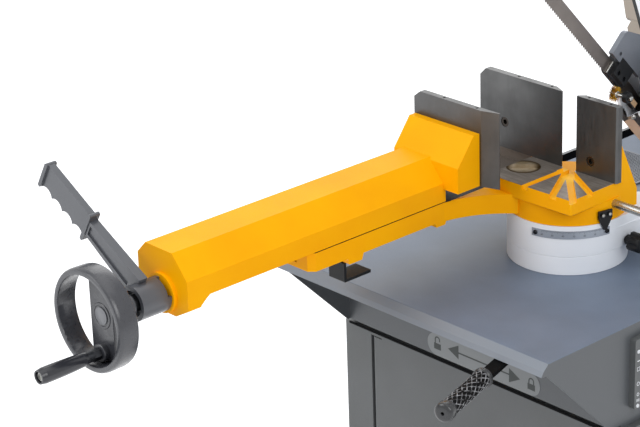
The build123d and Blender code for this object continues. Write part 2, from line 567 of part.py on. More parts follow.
def bed_bracket():
    top, low = BED_BOTTOM, TABLE - 103.0
    section = outline((-436, low), (-376, low), (-376, low + 5), (-431, low + 5), (-431, top - 5),
                      (-396, top - 5),
                      (-396, top), (-436, top))
    bracket = along_x(section, (-136.0, -99.0))
    bracket = fillet(bracket.edges().filter_by(Axis.X).sort_by(Axis.Y)[0:1], 2)
    return bracket - block((-106, -98), (-440, -390), (top - 13, top + 1))


def lock_line():
    a = math.radians(LOCK_ANGLE)
    middle = (LOCK_BAR[0] + LOCK_BAR[1]) / 2
    return Plane(origin=(*LOCK_MOUTH, middle), x_dir=(math.sin(a), -math.cos(a), 0), z_dir=(0, 0, 1))


def lock_lever():
    line = lock_line()
    width, thick = 24.0, LOCK_BAR[1] - LOCK_BAR[0]
    bend = line.from_local_coords((-120, 0, 0))
    inner = Plane(origin=(0, 0, bend.Z), x_dir=(bend.X, bend.Y, 0), z_dir=(0, 0, 1))
    reach = math.hypot(bend.X, bend.Y)
    arm = extrude(inner.offset(-thick / 2) * (Pos(reach / 2, 0) * SlotCenterToCenter(reach, width)),
                  amount=thick)
    tail = LOCK_GRIP[0] - 4
    arm += extrude(line.offset(-thick / 2) * (Pos((tail - 120) / 2, 0) * Rectangle(tail + 120, width)),
                   amount=thick)
    arm += rod(line.from_local_coords((tail - 6, 0, 0)), line.from_local_coords((LOCK_GRIP[1] - 16, 0, 0)), 8)
    arm += rod((0, 0, PAN_FLOOR - 28), (0, 0, PAN_FLOOR - 4), 34)
    return arm - rod((0, 0, PAN_FLOOR - 60), (0, 0, PAN_FLOOR + 1), STUD_RADIUS + RUNNING)


def lock_grip():
    line = lock_line()
    x0, x1 = LOCK_GRIP
    section = make_face([Line((x0, 8.3), (x0, 17.2)), Line((x0, 17.2), (x0 + 7, 17.2)),
                         Line((x0 + 7, 17.2), (x0 + 9, 14.8)),
                         Line((x0 + 9, 14.8), (x1 - 20, 14.8)), Line((x1 - 20, 14.8), (x1 - 17, 16.4)),
                         Line((x1 - 17, 16.4), (x1 - 5, 16.4)),
                         ThreePointArc((x1 - 5, 16.4), (x1 - 1.4, 13), (x1, 8)),
                         Line((x1, 8), (x1, 3)), Line((x1, 3), (x1 - 12, 3)),
                         Line((x1 - 12, 3), (x1 - 12, 8.3)),
                         Line((x1 - 12, 8.3), (x0, 8.3))])
    return revolve(line * section, axis=Axis(line.origin, line.x_dir))


def length_stop_rod():
    stop = rod((62, 2, ROD_Z), (440, 2, ROD_Z), ROD_RADIUS)
    return chamfer(stop.edges().group_by(Axis.X)[-1], 1.5)


def length_stop():
    x0, x1 = 330.0, 362.0
    body = block((x0, x1), (-13, 17), (ROD_Z - 16, ROD_Z + 16))
    body = fillet(body.edges().filter_by(Axis.X), 5)
    arm = outline((-13, ROD_Z + 10), (17, ROD_Z + 10), (0, TABLE + 70), (-14, TABLE + 70), (-22, TABLE + 40))
    body += along_x(arm, (x0 + 6, x0 + 16))
    body += rod((x0 - 24, -8, TABLE + 56), (x0 + 34, -8, TABLE + 56), 6)
    return body - rod((x0 - 1, 2, ROD_Z), (x1 + 1, 2, ROD_Z), ROD_RADIUS + RUNNING)


def stop_knob():
    x, y = 346.0, 2.0
    base = ROD_Z - 16.3
    knob = rod((x, y, base - 20), (x, y, base), 6)
    grip = rod((x, y, base - 34), (x, y, base - 8), 18)
    for turn in range(5):
        a = math.radians(72 * turn)
        spot = (x + 22 * math.cos(a), y + 22 * math.sin(a))
        grip -= rod((*spot, base - 36), (*spot, base - 6), 8)
    return knob + grip


# Saw bow

def across(face, z):
    return prism(WHEEL_PLANE, face, z[0], z[1])


def canted(x, y, z):
    return WHEEL_PLANE.from_local_coords((x, y, z))


def canted_rod(x, y, z, radius):
    return rod(canted(x, y, z[0]), canted(x, y, z[1]), radius)


def canted_block(x, y, z):
    middle = Pos((x[0] + x[1]) / 2, (y[0] + y[1]) / 2)
    return across(middle * Rectangle(x[1] - x[0], y[1] - y[0]), z)


def bow_face(inset=0.0):
    face = rounded(BOW_POINTS, BOW_RADII)
    return offset(face, amount=-inset) if inset else face


def bow_frame():
    frame = across(bow_face(), (WEB_BACK, RIM_EDGE))
    frame -= across(bow_face(8), (WEB_FACE, RIM_EDGE + 1))
    band_way = canted_block((140, 170), (-15.5, 26), (-30, 60))
    band_way += canted_block((-300, -266), (-15.5, 26), (-30, 60))
    frame -= band_way
    frame -= canted_rod(DRIVE_X, WHEEL_Y, (WEB_BACK - 1, WEB_FACE + 1), 24 + RUNNING)
    frame -= canted_block((IDLER_X - 22, IDLER_X + 32), (WHEEL_Y - 20, WHEEL_Y + 20),
                          (WEB_BACK - 1, WEB_FACE + 1))
    rail = canted_block((-270, 90), (238, 262), (WEB_BACK - 10, WEB_BACK))
    lug = canted_block((-586, -558), (WHEEL_Y - 22, WHEEL_Y + 22), (WEB_BACK - 44, WEB_BACK))
    lug -= rod(canted(-590, WHEEL_Y, TENSION_Z), canted(-550, WHEEL_Y, TENSION_Z), 9 + RUNNING)
    guides = canted_block((-518, -388), (WHEEL_Y + 26, WHEEL_Y + 36), (WEB_BACK - 22, WEB_BACK))
    guides += canted_block((-518, -388), (WHEEL_Y - 36, WHEEL_Y - 26), (WEB_BACK - 22, WEB_BACK))
    for x in (-230, -70, 90):
        frame += canted_block((x, x + 8), (212, 316), (WEB_FACE - 1, -15))
    wall = Plane(origin=canted(150, 0, 0), x_dir=WHEEL_PLANE.y_dir, z_dir=(0, 1, 0))
    shield = outline((54, -53), (54, -128), (33, -150), (38, -205), (120, -205), (120, -53))
    return frame + rail + lug + guides + extrude(wall * shield, amount=8)


def hinge_side():
    points = [(150, -24), (475, -24), (475, 322), (150, 322)]
    plate = across(rounded(points, [12, 150, 150, 12]), (RIM_EDGE + 0.02, SIDE_EDGE))
    pocket = [(158, -16), (467, -16), (467, 314), (158, 314)]
    plate -= across(rounded(pocket, [6, 142, 142, 6]), (RIM_EDGE - 1, SIDE_EDGE - 7))
    plate -= canted_block((140, 170), (-15.5, 26), (20, 60))
    boss = rod((90, HINGE_Y, HINGE_Z), (BARREL[0] - 0.6, HINGE_Y, HINGE_Z), BARREL_RADIUS)
    boss -= canted_block((60, 520), (-80, 420), (-80, SIDE_EDGE - 7))
    plate += boss
    return plate - rod((60, HINGE_Y, HINGE_Z), (BARREL[0] + 1, HINGE_Y, HINGE_Z), PIVOT_RADIUS)


def pivot_shaft():
    shaft = rod((80, HINGE_Y, HINGE_Z), (BARREL[1] + 8, HINGE_Y, HINGE_Z), PIVOT_RADIUS)
    return shaft - canted_block((60, 520), (-80, 420), (-80, SIDE_EDGE - 7))


def spring_drum():
    drum = rod((BARREL[1] + 0.6, HINGE_Y, HINGE_Z), (BARREL[1] + 38, HINGE_Y, HINGE_Z), 48)
    drum = fillet(drum.edges().group_by(Axis.X)[-1], 8)
    return drum - rod((BARREL[1], HINGE_Y, HINGE_Z), (BARREL[1] + 8, HINGE_Y, HINGE_Z), PIVOT_RADIUS)


def idler_cover():
    face = rounded([(-276, -24), (-276, 140), (-216, 205), (149.4, 205), (149.4, 322), (-616, 322),
                    (-616, -24)],
                   [12, 60, 60, 1, 1, 150, 150])
    cover = across(face, (RIM_EDGE + 0.02, SIDE_EDGE))
    cover -= across(offset(face, amount=-4), (RIM_EDGE - 1, SIDE_EDGE - 4))
    cover -= canted_block((-300, -266), (-15.5, 26), (20, 60))
    for i in range(5):
        slot = Pos(IDLER_X - 60 + 30 * i, WHEEL_Y) * Rot(0, 0, 90) * SlotOverall(120 - 16 * abs(i - 2), 9)
        cover -= across(slot, (RIM_EDGE, SIDE_EDGE + 2))
    return cover


def band_section(x, twist):
    a = math.radians(CANT * twist)
    width_dir = Vector(math.sin(a), 0, math.cos(a))
    return Plane(origin=(0, x, BLADE_LINE), x_dir=width_dir, z_dir=(0, 1, 0)) * Rectangle(BLADE_WIDTH,
                                                                                          BLADE_THICK)


def saw_band():
    half = BLADE_THICK / 2
    x0, x1 = CUT_ZONE
    back = TEETH_LOW + BLADE_WIDTH
    points = [(x0, back), (x0, TEETH_LOW)]
    count = int((x1 - x0) / TOOTH_PITCH) - 1
    for i in range(count):
        x = x0 + 4 + i * TOOTH_PITCH
        points += [(x, TEETH_LOW), (x + 0.8, TEETH_LOW + TOOTH_DEPTH), (x + 2.6, TEETH_LOW + TOOTH_DEPTH)]
    points += [(x0 + 4 + count * TOOTH_PITCH, TEETH_LOW), (x1, TEETH_LOW), (x1, back)]
    band = along_x(outline(*points), (-half, half))
    for start, end in ((x1, DRIVE_X), (x0, IDLER_X)):
        band += loft([band_section(start, 0), band_section(end, -1)], ruled=True)
    width = (-BLADE_WIDTH / 2, BLADE_WIDTH / 2)
    ring_out, ring_in = WHEEL_Y + half, WHEEL_Y - half
    for centre, side in ((DRIVE_X, 1), (IDLER_X, -1)):
        arc = Pos(centre, WHEEL_Y) * (Circle(ring_out) - Circle(ring_in))
        arc &= Pos(centre + side * 200, WHEEL_Y) * Rectangle(400, 800)
        band += across(arc, width)
    band += canted_block((IDLER_X, DRIVE_X), (2 * WHEEL_Y - half, 2 * WHEEL_Y + half), width)
    return band


def wheel(x, bore):
    rim = canted_rod(x, WHEEL_Y, (-17, 13), WHEEL_RADIUS) - canted_rod(x, WHEEL_Y, (-18, 14), 124)
    flange = canted_rod(x, WHEEL_Y, (-18, -14.2), WHEEL_RADIUS + 3) - canted_rod(x, WHEEL_Y, (-19, -14), 124)
    web = canted_rod(x, WHEEL_Y, (-7, 3), 125)
    for i in range(6):
        a = math.radians(60 * i)
        web -= canted_rod(x + 80 * math.cos(a), WHEEL_Y + 80 * math.sin(a), (-8, 4), 26)
    hub = canted_rod(x, WHEEL_Y, (-26, 20), 36)
    return rim + flange + web + hub - canted_rod(x, WHEEL_Y, (-60, 60), bore)


def drive_shaft():
    shaft = canted_rod(DRIVE_X, WHEEL_Y, (-78, 24), 17)
    shaft += canted_rod(DRIVE_X, WHEEL_Y, (-62, -27), 24)
    return shaft + canted_rod(DRIVE_X, WHEEL_Y, (20.2, 26), 26)


def gearbox():
    body = across(Pos(DRIVE_X, WHEEL_Y) * RectangleRounded(176, 190, 40), (-150, WEB_BACK - 0.02))
    outer = body.faces().sort_by(Axis((0, 0, 0), (-1, 0, 1)))[-1]
    body = fillet(outer.edges(), 14)
    return body - canted_rod(DRIVE_X, WHEEL_Y, (-80, WEB_BACK + 1), 24.3)


def motor():
    body = canted_rod(DRIVE_X, WHEEL_Y, (-172, -150.02), 80)
    body += canted_rod(DRIVE_X, WHEEL_Y, (-330, -172), 62)
    for i in range(20):
        fin = Pos(DRIVE_X, WHEEL_Y) * Rot(0, 0, 18 * i) * (Pos(66, 0) * Rectangle(14, 3))
        body += across(fin, (-328, -171))
    terminal = canted_block((DRIVE_X - 40, DRIVE_X + 40), (WHEEL_Y + 58, WHEEL_Y + 108), (-290, -200))
    return body + fillet(terminal.edges(), 5)


def fan_cover():
    cap = canted_rod(DRIVE_X, WHEEL_Y, (-384, -330.4), 76)
    outer = cap.faces().sort_by(Axis((0, 0, 0), (-1, 0, 1)))[-1]
    cap = fillet(outer.edges(), 12)
    cap -= canted_rod(DRIVE_X, WHEEL_Y, (-380, -330), 72)
    slots = Sketch() + PolarLocations(38, 16) * Rectangle(34, 5)
    return cap - across(Pos(DRIVE_X, WHEEL_Y) * slots, (-390, -370))


def idler_axle():
    axle = canted_rod(IDLER_X, WHEEL_Y, (-96, 28), 15)
    return axle + canted_rod(IDLER_X, WHEEL_Y, (20.4, 25), 22)


def idler_carriage():
    body = canted_block((IDLER_X - 46, IDLER_X + 46), (WHEEL_Y - 25.7, WHEEL_Y + 25.7), (-96, WEB_BACK - 0.4))
    body += canted_block((IDLER_X - 14, IDLER_X + 14), (WHEEL_Y - 19.6, WHEEL_Y + 19.6),
                         (WEB_BACK - 1, WEB_FACE))
    body += canted_rod(IDLER_X, WHEEL_Y, (WEB_FACE - 0.5, -27), 19)
    body -= canted_rod(IDLER_X, WHEEL_Y, (-100, 0), 15)
    return body - rod(canted(IDLER_X - 60, WHEEL_Y, TENSION_Z), canted(IDLER_X - 18, WHEEL_Y, TENSION_Z), 8.3)


def tension_screw():
    screw = rod(canted(-660, WHEEL_Y, TENSION_Z), canted(IDLER_X - 20, WHEEL_Y, TENSION_Z), 8)
    screw += rod(canted(-660, WHEEL_Y, TENSION_Z), canted(-556, WHEEL_Y, TENSION_Z), 9)
    return screw + rod(canted(-604, WHEEL_Y, TENSION_Z), canted(-586.4, WHEEL_Y, TENSION_Z), 18)


def tension_wheel():
    x = -670.0
    hub = rod(canted(x, WHEEL_Y, TENSION_Z), canted(x + 42, WHEEL_Y, TENSION_Z), 20)
    base = Plane(origin=canted(x, WHEEL_Y, TENSION_Z), x_dir=WHEEL_PLANE.z_dir, z_dir=(0, 1, 0))
    disc = extrude(base * Circle(52), amount=20)
    disc = fillet(disc.edges(), 6)
    for turn in range(6):
        a = math.radians(60 * turn)
        disc -= extrude(base.offset(-1) * (Pos(62 * math.cos(a), 62 * math.sin(a)) * Circle(19)), amount=24)
    return hub + disc - rod(canted(x + 10, WHEEL_Y, TENSION_Z), canted(x + 60, WHEEL_Y, TENSION_Z), 9)


def bow_handle():
    bracket = canted_block((-650, -560), (225, 285), (-24, 14)) - across(bow_face(), (-60, 40))
    core = rod(canted(-640, 255, -5), canted(-768, 255, -5), 9)
    ears = canted_block((-650, -618), (204, 226), (-16, -11)) + canted_block((-650, -618), (204, 226), (1, 6))
    pin = canted_rod(TRIGGER_X, TRIGGER_Y, (-14, 4), 3)
    return bracket + core + ears + pin


def handle_grip():
    grip = rod(canted(-654, 255, -5), canted(-772, 255, -5), 17)
    grip = fillet(grip.edges().group_by(Axis.Y)[0], 6)
    return grip - rod(canted(-650, 255, -5), canted(-768, 255, -5), 9)


def trigger():
    lever = across(outline((TRIGGER_X - 6, 206), (TRIGGER_X + 6, 206), (TRIGGER_X + 6, 220),
                           (TRIGGER_X - 50, 222),
                           (TRIGGER_X - 92, 228), (TRIGGER_X - 94, 219), (TRIGGER_X - 40, 207)), (-10.6, 0.6))
    return lever - canted_rod(TRIGGER_X, TRIGGER_Y, (-20, 10), 3 + RUNNING)


# Blade guides, drawn in the upright blade frame of the lowered bow

def rear_guide_block():
    body = block((-12, 15.6), (REAR_GUIDE, REAR_GUIDE + 44), (TABLE - 3, TABLE + 34))
    body = chamfer(body.edges().filter_by(Axis.Y).group_by(Axis.Z)[0], 4)
    for y in (REAR_GUIDE + 12, REAR_GUIDE + 32):
        body -= rod((11, y, TABLE + 9), (16, y, TABLE + 9), 4.5)
    return body - block(SLOT, (REAR_GUIDE - 1, REAR_GUIDE + 45), (TABLE - 9, SLOT_TOP))


def front_guide_block():
    y0 = FRONT_GUIDE
    body = block((-15, 22), (y0, y0 + 40), (TABLE + 3, TABLE + 66))
    body = chamfer(body.edges().filter_by(Axis.Y).group_by(Axis.Z)[0], 5)
    return body - block(SLOT, (y0 - 1, y0 + 41), (TABLE - 9, SLOT_TOP))


def rear_guide_bracket():
    y0, y1, wall = REAR_GUIDE - 28, REAR_GUIDE - 0.5, 149.98
    base = TABLE + 34.02
    plate = along_x(rounded([(y0, TABLE + 23), (y1, TABLE + 23), (y1, base), (wall, base),
                             (wall, TABLE + 114),
                             (y0, TABLE + 71)], [1, 1, 1, 1, 1, 12]), (6, 16))
    plate -= rod((4, y0 + 18, TABLE + 35), (18, y0 + 18, TABLE + 35), 3.4)
    return plate + canted_block((wall - 9, wall), (30, 84), (-44, 18))


def front_guide_arm():
    y0 = FRONT_GUIDE
    arm = canted_block((y0 + 2, y0 + 38), (60, 290), (WEB_BACK - 26, WEB_BACK - 10.4))
    shoe = canted_block((y0 - 14, y0 + 54), (222, 278), (WEB_BACK - 26, WEB_BACK - 0.4))
    shoe -= canted_block((y0 - 20, y0 + 60), (237.6, 262.4), (WEB_BACK - 10.4, WEB_BACK + 1))
    link = outline((-15, TABLE + 66.02), (22, TABLE + 66.02), (22, TABLE + 82), (11, TABLE + 110.6),
                   (0, TABLE + 121.6),
                   (-14, TABLE + 107.5))
    return arm + shoe + along_y(link, (y0 + 2, y0 + 38))


def chip_brush():
    hub = rod((1.6, BRUSH_Y, BRUSH_Z), (14.4, BRUSH_Y, BRUSH_Z), 6)
    hub += rod((14, BRUSH_Y, BRUSH_Z), (46, BRUSH_Y, BRUSH_Z), 4)
    strands = []
    for row in range(BRUSH_ROWS):
        x = 2.6 + row * 2.15
        for ray in range(BRUSH_RAYS):
            a = 2 * math.pi * (ray + 0.5 * (row % 2)) / BRUSH_RAYS
            out = (0, math.cos(a), math.sin(a))
            root = (x, BRUSH_Y + 5.6 * out[1], BRUSH_Z + 5.6 * out[2])
            strands.append(extrude(Plane(origin=root, z_dir=out) * RegularPolygon(0.3, 3),
                                   amount=BRUSH_RADIUS - 5.6))
    return hub.fuse(*strands)


def brush_bracket():
    y0, y1 = BRUSH_Y - 11, BRUSH_Y + 11
    plate = along_x(rounded([(y0, BRUSH_Z), (BRUSH_Y, BRUSH_Z - 11), (y1, BRUSH_Z), (y1, TABLE + 74),
                             (y0, TABLE + 74)],
                            [8, 8, 8, 4, 4]), (16.02, 22))
    plate += rod((22, BRUSH_Y, BRUSH_Z), (40, BRUSH_Y, BRUSH_Z), 10)
    return plate - rod((10, BRUSH_Y, BRUSH_Z), (60, BRUSH_Y, BRUSH_Z), 4 + RUNNING)


def guide_clamp_knob():
    x, y = FRONT_GUIDE + 20, 250.0
    stem = canted_rod(x, y, (WEB_BACK - 46, WEB_BACK - 26.3), 7)
    grip = canted_rod(x, y, (WEB_BACK - 64, WEB_BACK - 38), 19)
    for turn in range(5):
        a = math.radians(72 * turn)
        grip -= canted_rod(x + 23 * math.cos(a), y + 23 * math.sin(a), (WEB_BACK - 66, WEB_BACK - 36), 8)
    return stem + grip


# Controls on the right end of the pan

def control_panel():
    y0, y1, z0, z1 = PANEL
    plate = block((PAN_RIGHT + 0.02, PANEL_FACE), (y0, y1), (z0, z1))
    plate = fillet(plate.edges().filter_by(Axis.X), 5)
    for spot, radius in ((SWITCH, 6), (START, 9), (STOP, 9)):
        plate -= rod((PAN_RIGHT + 2, *spot), (PANEL_FACE + 1, *spot), radius + RUNNING)
    return plate


def main_switch():
    y, z = SWITCH
    stem = rod((PAN_RIGHT + 3, y, z), (PANEL_FACE + 1, y, z), 6)
    dial = rod((PANEL_FACE + 0.4, y, z), (PANEL_FACE + 12, y, z), 19)
    return stem + dial + fillet(block((PANEL_FACE + 11, PANEL_FACE + 24), (y - 5, y + 5),
                                      (z - 19, z + 19)).edges(), 2)


def start_button():
    y, z = START
    cap = rod((PAN_RIGHT + 7, y, z), (PANEL_FACE + 9, y, z), 9)
    return fillet(cap.edges().group_by(Axis.X)[-1], 2)


def emergency_stop():
    y, z = STOP
    stem = rod((PAN_RIGHT + 8, y, z), (PANEL_FACE + 12, y, z), 9)
    head = rod((PANEL_FACE + 8, y, z), (PANEL_FACE + 24, y, z), 20)
    return stem + fillet(head.edges().group_by(Axis.X)[-1], 7)


def main():
    os.makedirs("parts", exist_ok=True)
    origin = Pos(-ORIGIN_X, -ORIGIN_Y, 0)
    for name, shapes in PARTS.items():
        solids = [solid for shape in shapes for solid in (origin * shape).solids()]
        export_step(Compound(children=solids) if len(solids) > 1 else solids[0], f"parts/{name}.step")
        print(name, len(solids))


keep("stand_cabinet", stand_cabinet())
keep("cabinet_door", cabinet_door())
keep("chip_pan", chip_pan())
keep("chip_screen", chip_screen())
keep("turret_ring", turret_ring())
keep("turret_post", turret_post())
keep("swivel_arm", swivel_arm())
keep("index_knob", index_knob())
keep("mitre_scale", mitre_scale())
keep("angle_pointer", angle_pointer())
keep("saw_table", saw_table())
keep("fixed_jaw_left", fixed_jaw_left())
keep("fixed_jaw_right", fixed_jaw_right())
keep("fixed_jaw_bolts", jaw_bolt(BOLT_LEFT[0], BOLT_LEFT[2], 0, 1),
     jaw_bolt(BOLT_RIGHT[0], BOLT_RIGHT[2], 0, 1))
keep("vise_slide", vise_slide())
keep("moving_jaw", moving_jaw())
keep("moving_jaw_bolts", *[jaw_bolt(x, z, MOVING_JAW_FACE, -1) for x, z in MOVING_BOLTS])
keep("vise_screw", vise_screw())
keep("vise_nut", vise_nut())
keep("handwheel", handwheel())
keep("crank_axle", crank_axle())
keep("crank_grip", crank_grip())
keep("clamp_lever", clamp_lever())
keep("bed_bracket", bed_bracket())
keep("lock_lever", lock_lever())
keep("lock_grip", lock_grip())
keep("length_stop_rod", length_stop_rod())
keep("length_stop", length_stop())
keep("stop_knob", stop_knob())
keep("bow_frame", RAISE * bow_frame())
keep("hinge_side", RAISE * hinge_side())
keep("pivot_shaft", RAISE * pivot_shaft())
keep("spring_drum", RAISE * spring_drum())
keep("idler_cover", RAISE * idler_cover())
keep("saw_band", RAISE * saw_band())
keep("drive_wheel", RAISE * wheel(DRIVE_X, 17))
keep("drive_shaft", RAISE * drive_shaft())
keep("idler_wheel", RAISE * wheel(IDLER_X, 15 + RUNNING))
keep("idler_axle", RAISE * idler_axle())
keep("idler_carriage", RAISE * idler_carriage())
keep("gearbox", RAISE * gearbox())
keep("motor", RAISE * motor())
keep("fan_cover", RAISE * fan_cover())
keep("tension_screw", RAISE * tension_screw())
keep("tension_wheel", RAISE * tension_wheel())
keep("rear_guide_block", RAISE * rear_guide_block())
keep("rear_guide_bracket", RAISE * rear_guide_bracket())
keep("front_guide_block", RAISE * front_guide_block())
keep("front_guide_arm", RAISE * front_guide_arm())
keep("chip_brush", RAISE * chip_brush())
keep("brush_bracket", RAISE * brush_bracket())
keep("bow_handle", RAISE * bow_handle())
keep("handle_grip", RAISE * handle_grip())
keep("trigger", RAISE * trigger())
keep("control_panel", control_panel())
keep("main_switch", main_switch())
keep("start_button", start_button())
keep("emergency_stop", emergency_stop())
keep("guide_clamp_knob", RAISE * guide_clamp_knob())
main()
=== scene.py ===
import json
import math

import bmesh
import bpy
from mathutils import Matrix, Vector


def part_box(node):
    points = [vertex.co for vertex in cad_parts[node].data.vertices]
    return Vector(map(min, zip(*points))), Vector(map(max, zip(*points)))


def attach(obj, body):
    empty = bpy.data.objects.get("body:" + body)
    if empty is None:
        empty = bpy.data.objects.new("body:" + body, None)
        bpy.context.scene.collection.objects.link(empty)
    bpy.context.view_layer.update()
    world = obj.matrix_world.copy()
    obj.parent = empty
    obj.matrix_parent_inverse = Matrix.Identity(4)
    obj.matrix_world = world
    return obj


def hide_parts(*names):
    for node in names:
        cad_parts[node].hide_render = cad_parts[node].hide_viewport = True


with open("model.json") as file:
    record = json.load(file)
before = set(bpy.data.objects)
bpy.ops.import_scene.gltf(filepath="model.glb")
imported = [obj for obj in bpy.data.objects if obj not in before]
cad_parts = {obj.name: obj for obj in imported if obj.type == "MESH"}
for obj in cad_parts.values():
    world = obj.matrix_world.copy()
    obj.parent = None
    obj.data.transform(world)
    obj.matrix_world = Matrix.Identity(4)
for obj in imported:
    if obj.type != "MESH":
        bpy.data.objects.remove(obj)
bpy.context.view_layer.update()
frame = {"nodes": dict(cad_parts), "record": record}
nodes = frame["nodes"]
slotOf = {entry["node"]: entry["material_slot"] for entry in frame["record"]["subparts"]}
print("loaded", len(nodes), "nodes")

tableTop = 0.930
skin = 0.0006  # a face this near a level counts as lying on it
millimetres = Matrix.Scale(0.001, 4)
turret = Vector((0.034, -0.102, 0.0))
bowRaised = math.radians(-47.0)  # the bow rests lifted about its hinge
hingeY, hingeZ = 262.0, 60.0


def at(x, y, z):  # millimetres from the turret axis, height from the table top
    return Vector((x / 1000, y / 1000, tableTop + z / 1000)) + turret


def raisedBow():
    hinge = at(0, hingeY, hingeZ)
    return Matrix.Translation(hinge) @ Matrix.Rotation(bowRaised, 4, "X") @ Matrix.Translation(-hinge)


def bowPlace():
    return raisedBow() @ Matrix.Translation(at(0, 0, 0)) @ millimetres


def cantedBow():  # the wheels lean 45 degrees, so the band twists into its guides
    lean = math.sqrt(0.5)
    axes = Matrix(((0, lean, lean), (1, 0, 0), (0, lean, -lean))).to_4x4()
    return raisedBow() @ Matrix.Translation(at(0, 0, 8.5)) @ axes @ millimetres


def facing(origin, direction):
    matrix = Vector(direction).to_track_quat("Z", "Y").to_matrix().to_4x4()
    matrix.translation = origin
    return matrix


def linear(text):
    parts = []
    for i in (1, 3, 5):
        value = int(text[i:i + 2], 16) / 255
        parts.append(value / 12.92 if value <= 0.04045 else ((value + 0.055) / 1.055) ** 2.4)
    return (*parts, 1.0)


def newMaterial(name):
    material = bpy.data.materials.new(name)
    material.use_nodes = True
    tree = material.node_tree
    return material, tree, tree.nodes["Principled BSDF"]


def add(tree, kind, **values):
    node = tree.nodes.new(kind)
    for key, value in values.items():
        setattr(node, key, value)
    return node


def put(tree, socket, value):
    if isinstance(value, bpy.types.NodeSocket):
        tree.links.new(value, socket)
    else:
        socket.default_value = value


def calc(tree, operation, *values):
    node = add(tree, "ShaderNodeMath", operation=operation)
    for socket, value in zip(node.inputs, values):
        put(tree, socket, value)
    return node.outputs[0]


def times(tree, first, second):
    return calc(tree, "MULTIPLY", first, second)


def below(tree, value, limit):
    return calc(tree, "LESS_THAN", value, limit)


def above(tree, value, limit):
    return calc(tree, "GREATER_THAN", value, limit)


def radial(tree, first, second):
    return calc(tree, "SQRT", calc(tree, "MULTIPLY_ADD", first, first, times(tree, second, second)))


def between(tree, value, low, high):
    return times(tree, above(tree, value, low), below(tree, value, high))


def level(tree, height, value):
    return between(tree, height, value - skin, value + skin)


def objectCoords(tree):
    return add(tree, "ShaderNodeTexCoord").outputs["Object"]


def split(tree, vector):
    node = add(tree, "ShaderNodeSeparateXYZ")
    tree.links.new(vector, node.inputs["Vector"])
    return node.outputs["X"], node.outputs["Y"], node.outputs["Z"]


def mapped(tree, coords, scale=(1.0, 1.0, 1.0), turn=(0.0, 0.0, 0.0), move=(0.0, 0.0, 0.0)):
    node = add(tree, "ShaderNodeMapping")
    node.inputs["Scale"].default_value = scale
    node.inputs["Rotation"].default_value = turn
    node.inputs["Location"].default_value = move
    tree.links.new(coords, node.inputs["Vector"])
    return node.outputs["Vector"]


def noise(tree, coords, scale, detail=3.0, stretch=None):
    texture = add(tree, "ShaderNodeTexNoise")
    texture.inputs["Scale"].default_value = scale
    texture.inputs["Detail"].default_value = detail
    tree.links.new(mapped(tree, coords, stretch) if stretch else coords, texture.inputs["Vector"])
    return texture.outputs["Fac"]


def ramp(tree, factor, low=0.0, high=1.0, start=0.3, end=0.7):
    node = add(tree, "ShaderNodeMapRange")
    node.inputs["From Min"].default_value = start
    node.inputs["From Max"].default_value = end
    node.inputs["To Min"].default_value = low
    node.inputs["To Max"].default_value = high
    tree.links.new(factor, node.inputs["Value"])
    return node.outputs["Result"]


def mixColour(tree, factor, first, second):
    node = add(tree, "ShaderNodeMix", data_type="RGBA")
    put(tree, node.inputs["Factor"], factor)
    put(tree, node.inputs[6], first)
    put(tree, node.inputs[7], second)
    return node.outputs[2]


def bump(tree, shader, height, strength, distance):
    node = add(tree, "ShaderNodeBump")
    node.inputs["Strength"].default_value = strength
    node.inputs["Distance"].default_value = distance
    tree.links.new(height, node.inputs["Height"])
    tree.links.new(node.outputs["Normal"], shader.inputs["Normal"])


def paint(name, colour, shade, roughness=0.35, coat=0.25, grain=420.0, depth=0.00012, cloudScale=9.0,
          zones=None, gloss=0.5):
    material, tree, shader = newMaterial(name)
    coords = objectCoords(tree)
    cloud = noise(tree, coords, cloudScale, 4.0)
    base = mixColour(tree, ramp(tree, cloud), linear(colour), linear(shade))
    if zones:
        base = zones(tree, coords, base)
    tree.links.new(base, shader.inputs["Base Color"])
    fine = noise(tree, coords, grain, 2.0)
    tree.links.new(ramp(tree, fine, roughness - 0.06, roughness + 0.08), shader.inputs["Roughness"])
    shader.inputs["Specular IOR Level"].default_value = gloss
    shader.inputs["Coat Weight"].default_value = coat
    shader.inputs["Coat Roughness"].default_value = 0.2
    bump(tree, shader, fine, 0.25, depth)
    return material


def steel(name, colour, shade, roughness=0.34, stretch=(1.0, 1.0, 1.0), scale=260.0, metallic=0.9):
    material, tree, shader = newMaterial(name)
    coords = objectCoords(tree)
    streak = noise(tree, coords, scale, 4.0, stretch)
    smudge = noise(tree, coords, 14.0, 4.0)
    base = mixColour(tree, ramp(tree, smudge), linear(colour), linear(shade))
    tree.links.new(base, shader.inputs["Base Color"])
    both = calc(tree, "MULTIPLY_ADD", smudge, 0.5, times(tree, streak, 0.5))
    tree.links.new(ramp(tree, both, roughness - 0.1, roughness + 0.12), shader.inputs["Roughness"])
    shader.inputs["Metallic"].default_value = metallic
    bump(tree, shader, streak, 0.2, 0.0001)
    return material


def plastic(name, colour, shade, roughness=0.45, grain=900.0, gloss=0.5):
    material, tree, shader = newMaterial(name)
    coords = objectCoords(tree)
    fine = noise(tree, coords, grain, 2.0)
    cloud = noise(tree, coords, 22.0, 3.0)
    base = mixColour(tree, ramp(tree, cloud), linear(colour), linear(shade))
    tree.links.new(base, shader.inputs["Base Color"])
    tree.links.new(ramp(tree, fine, roughness - 0.06, roughness + 0.1), shader.inputs["Roughness"])
    shader.inputs["Specular IOR Level"].default_value = gloss
    bump(tree, shader, fine, 0.3, 0.00008)
    return material


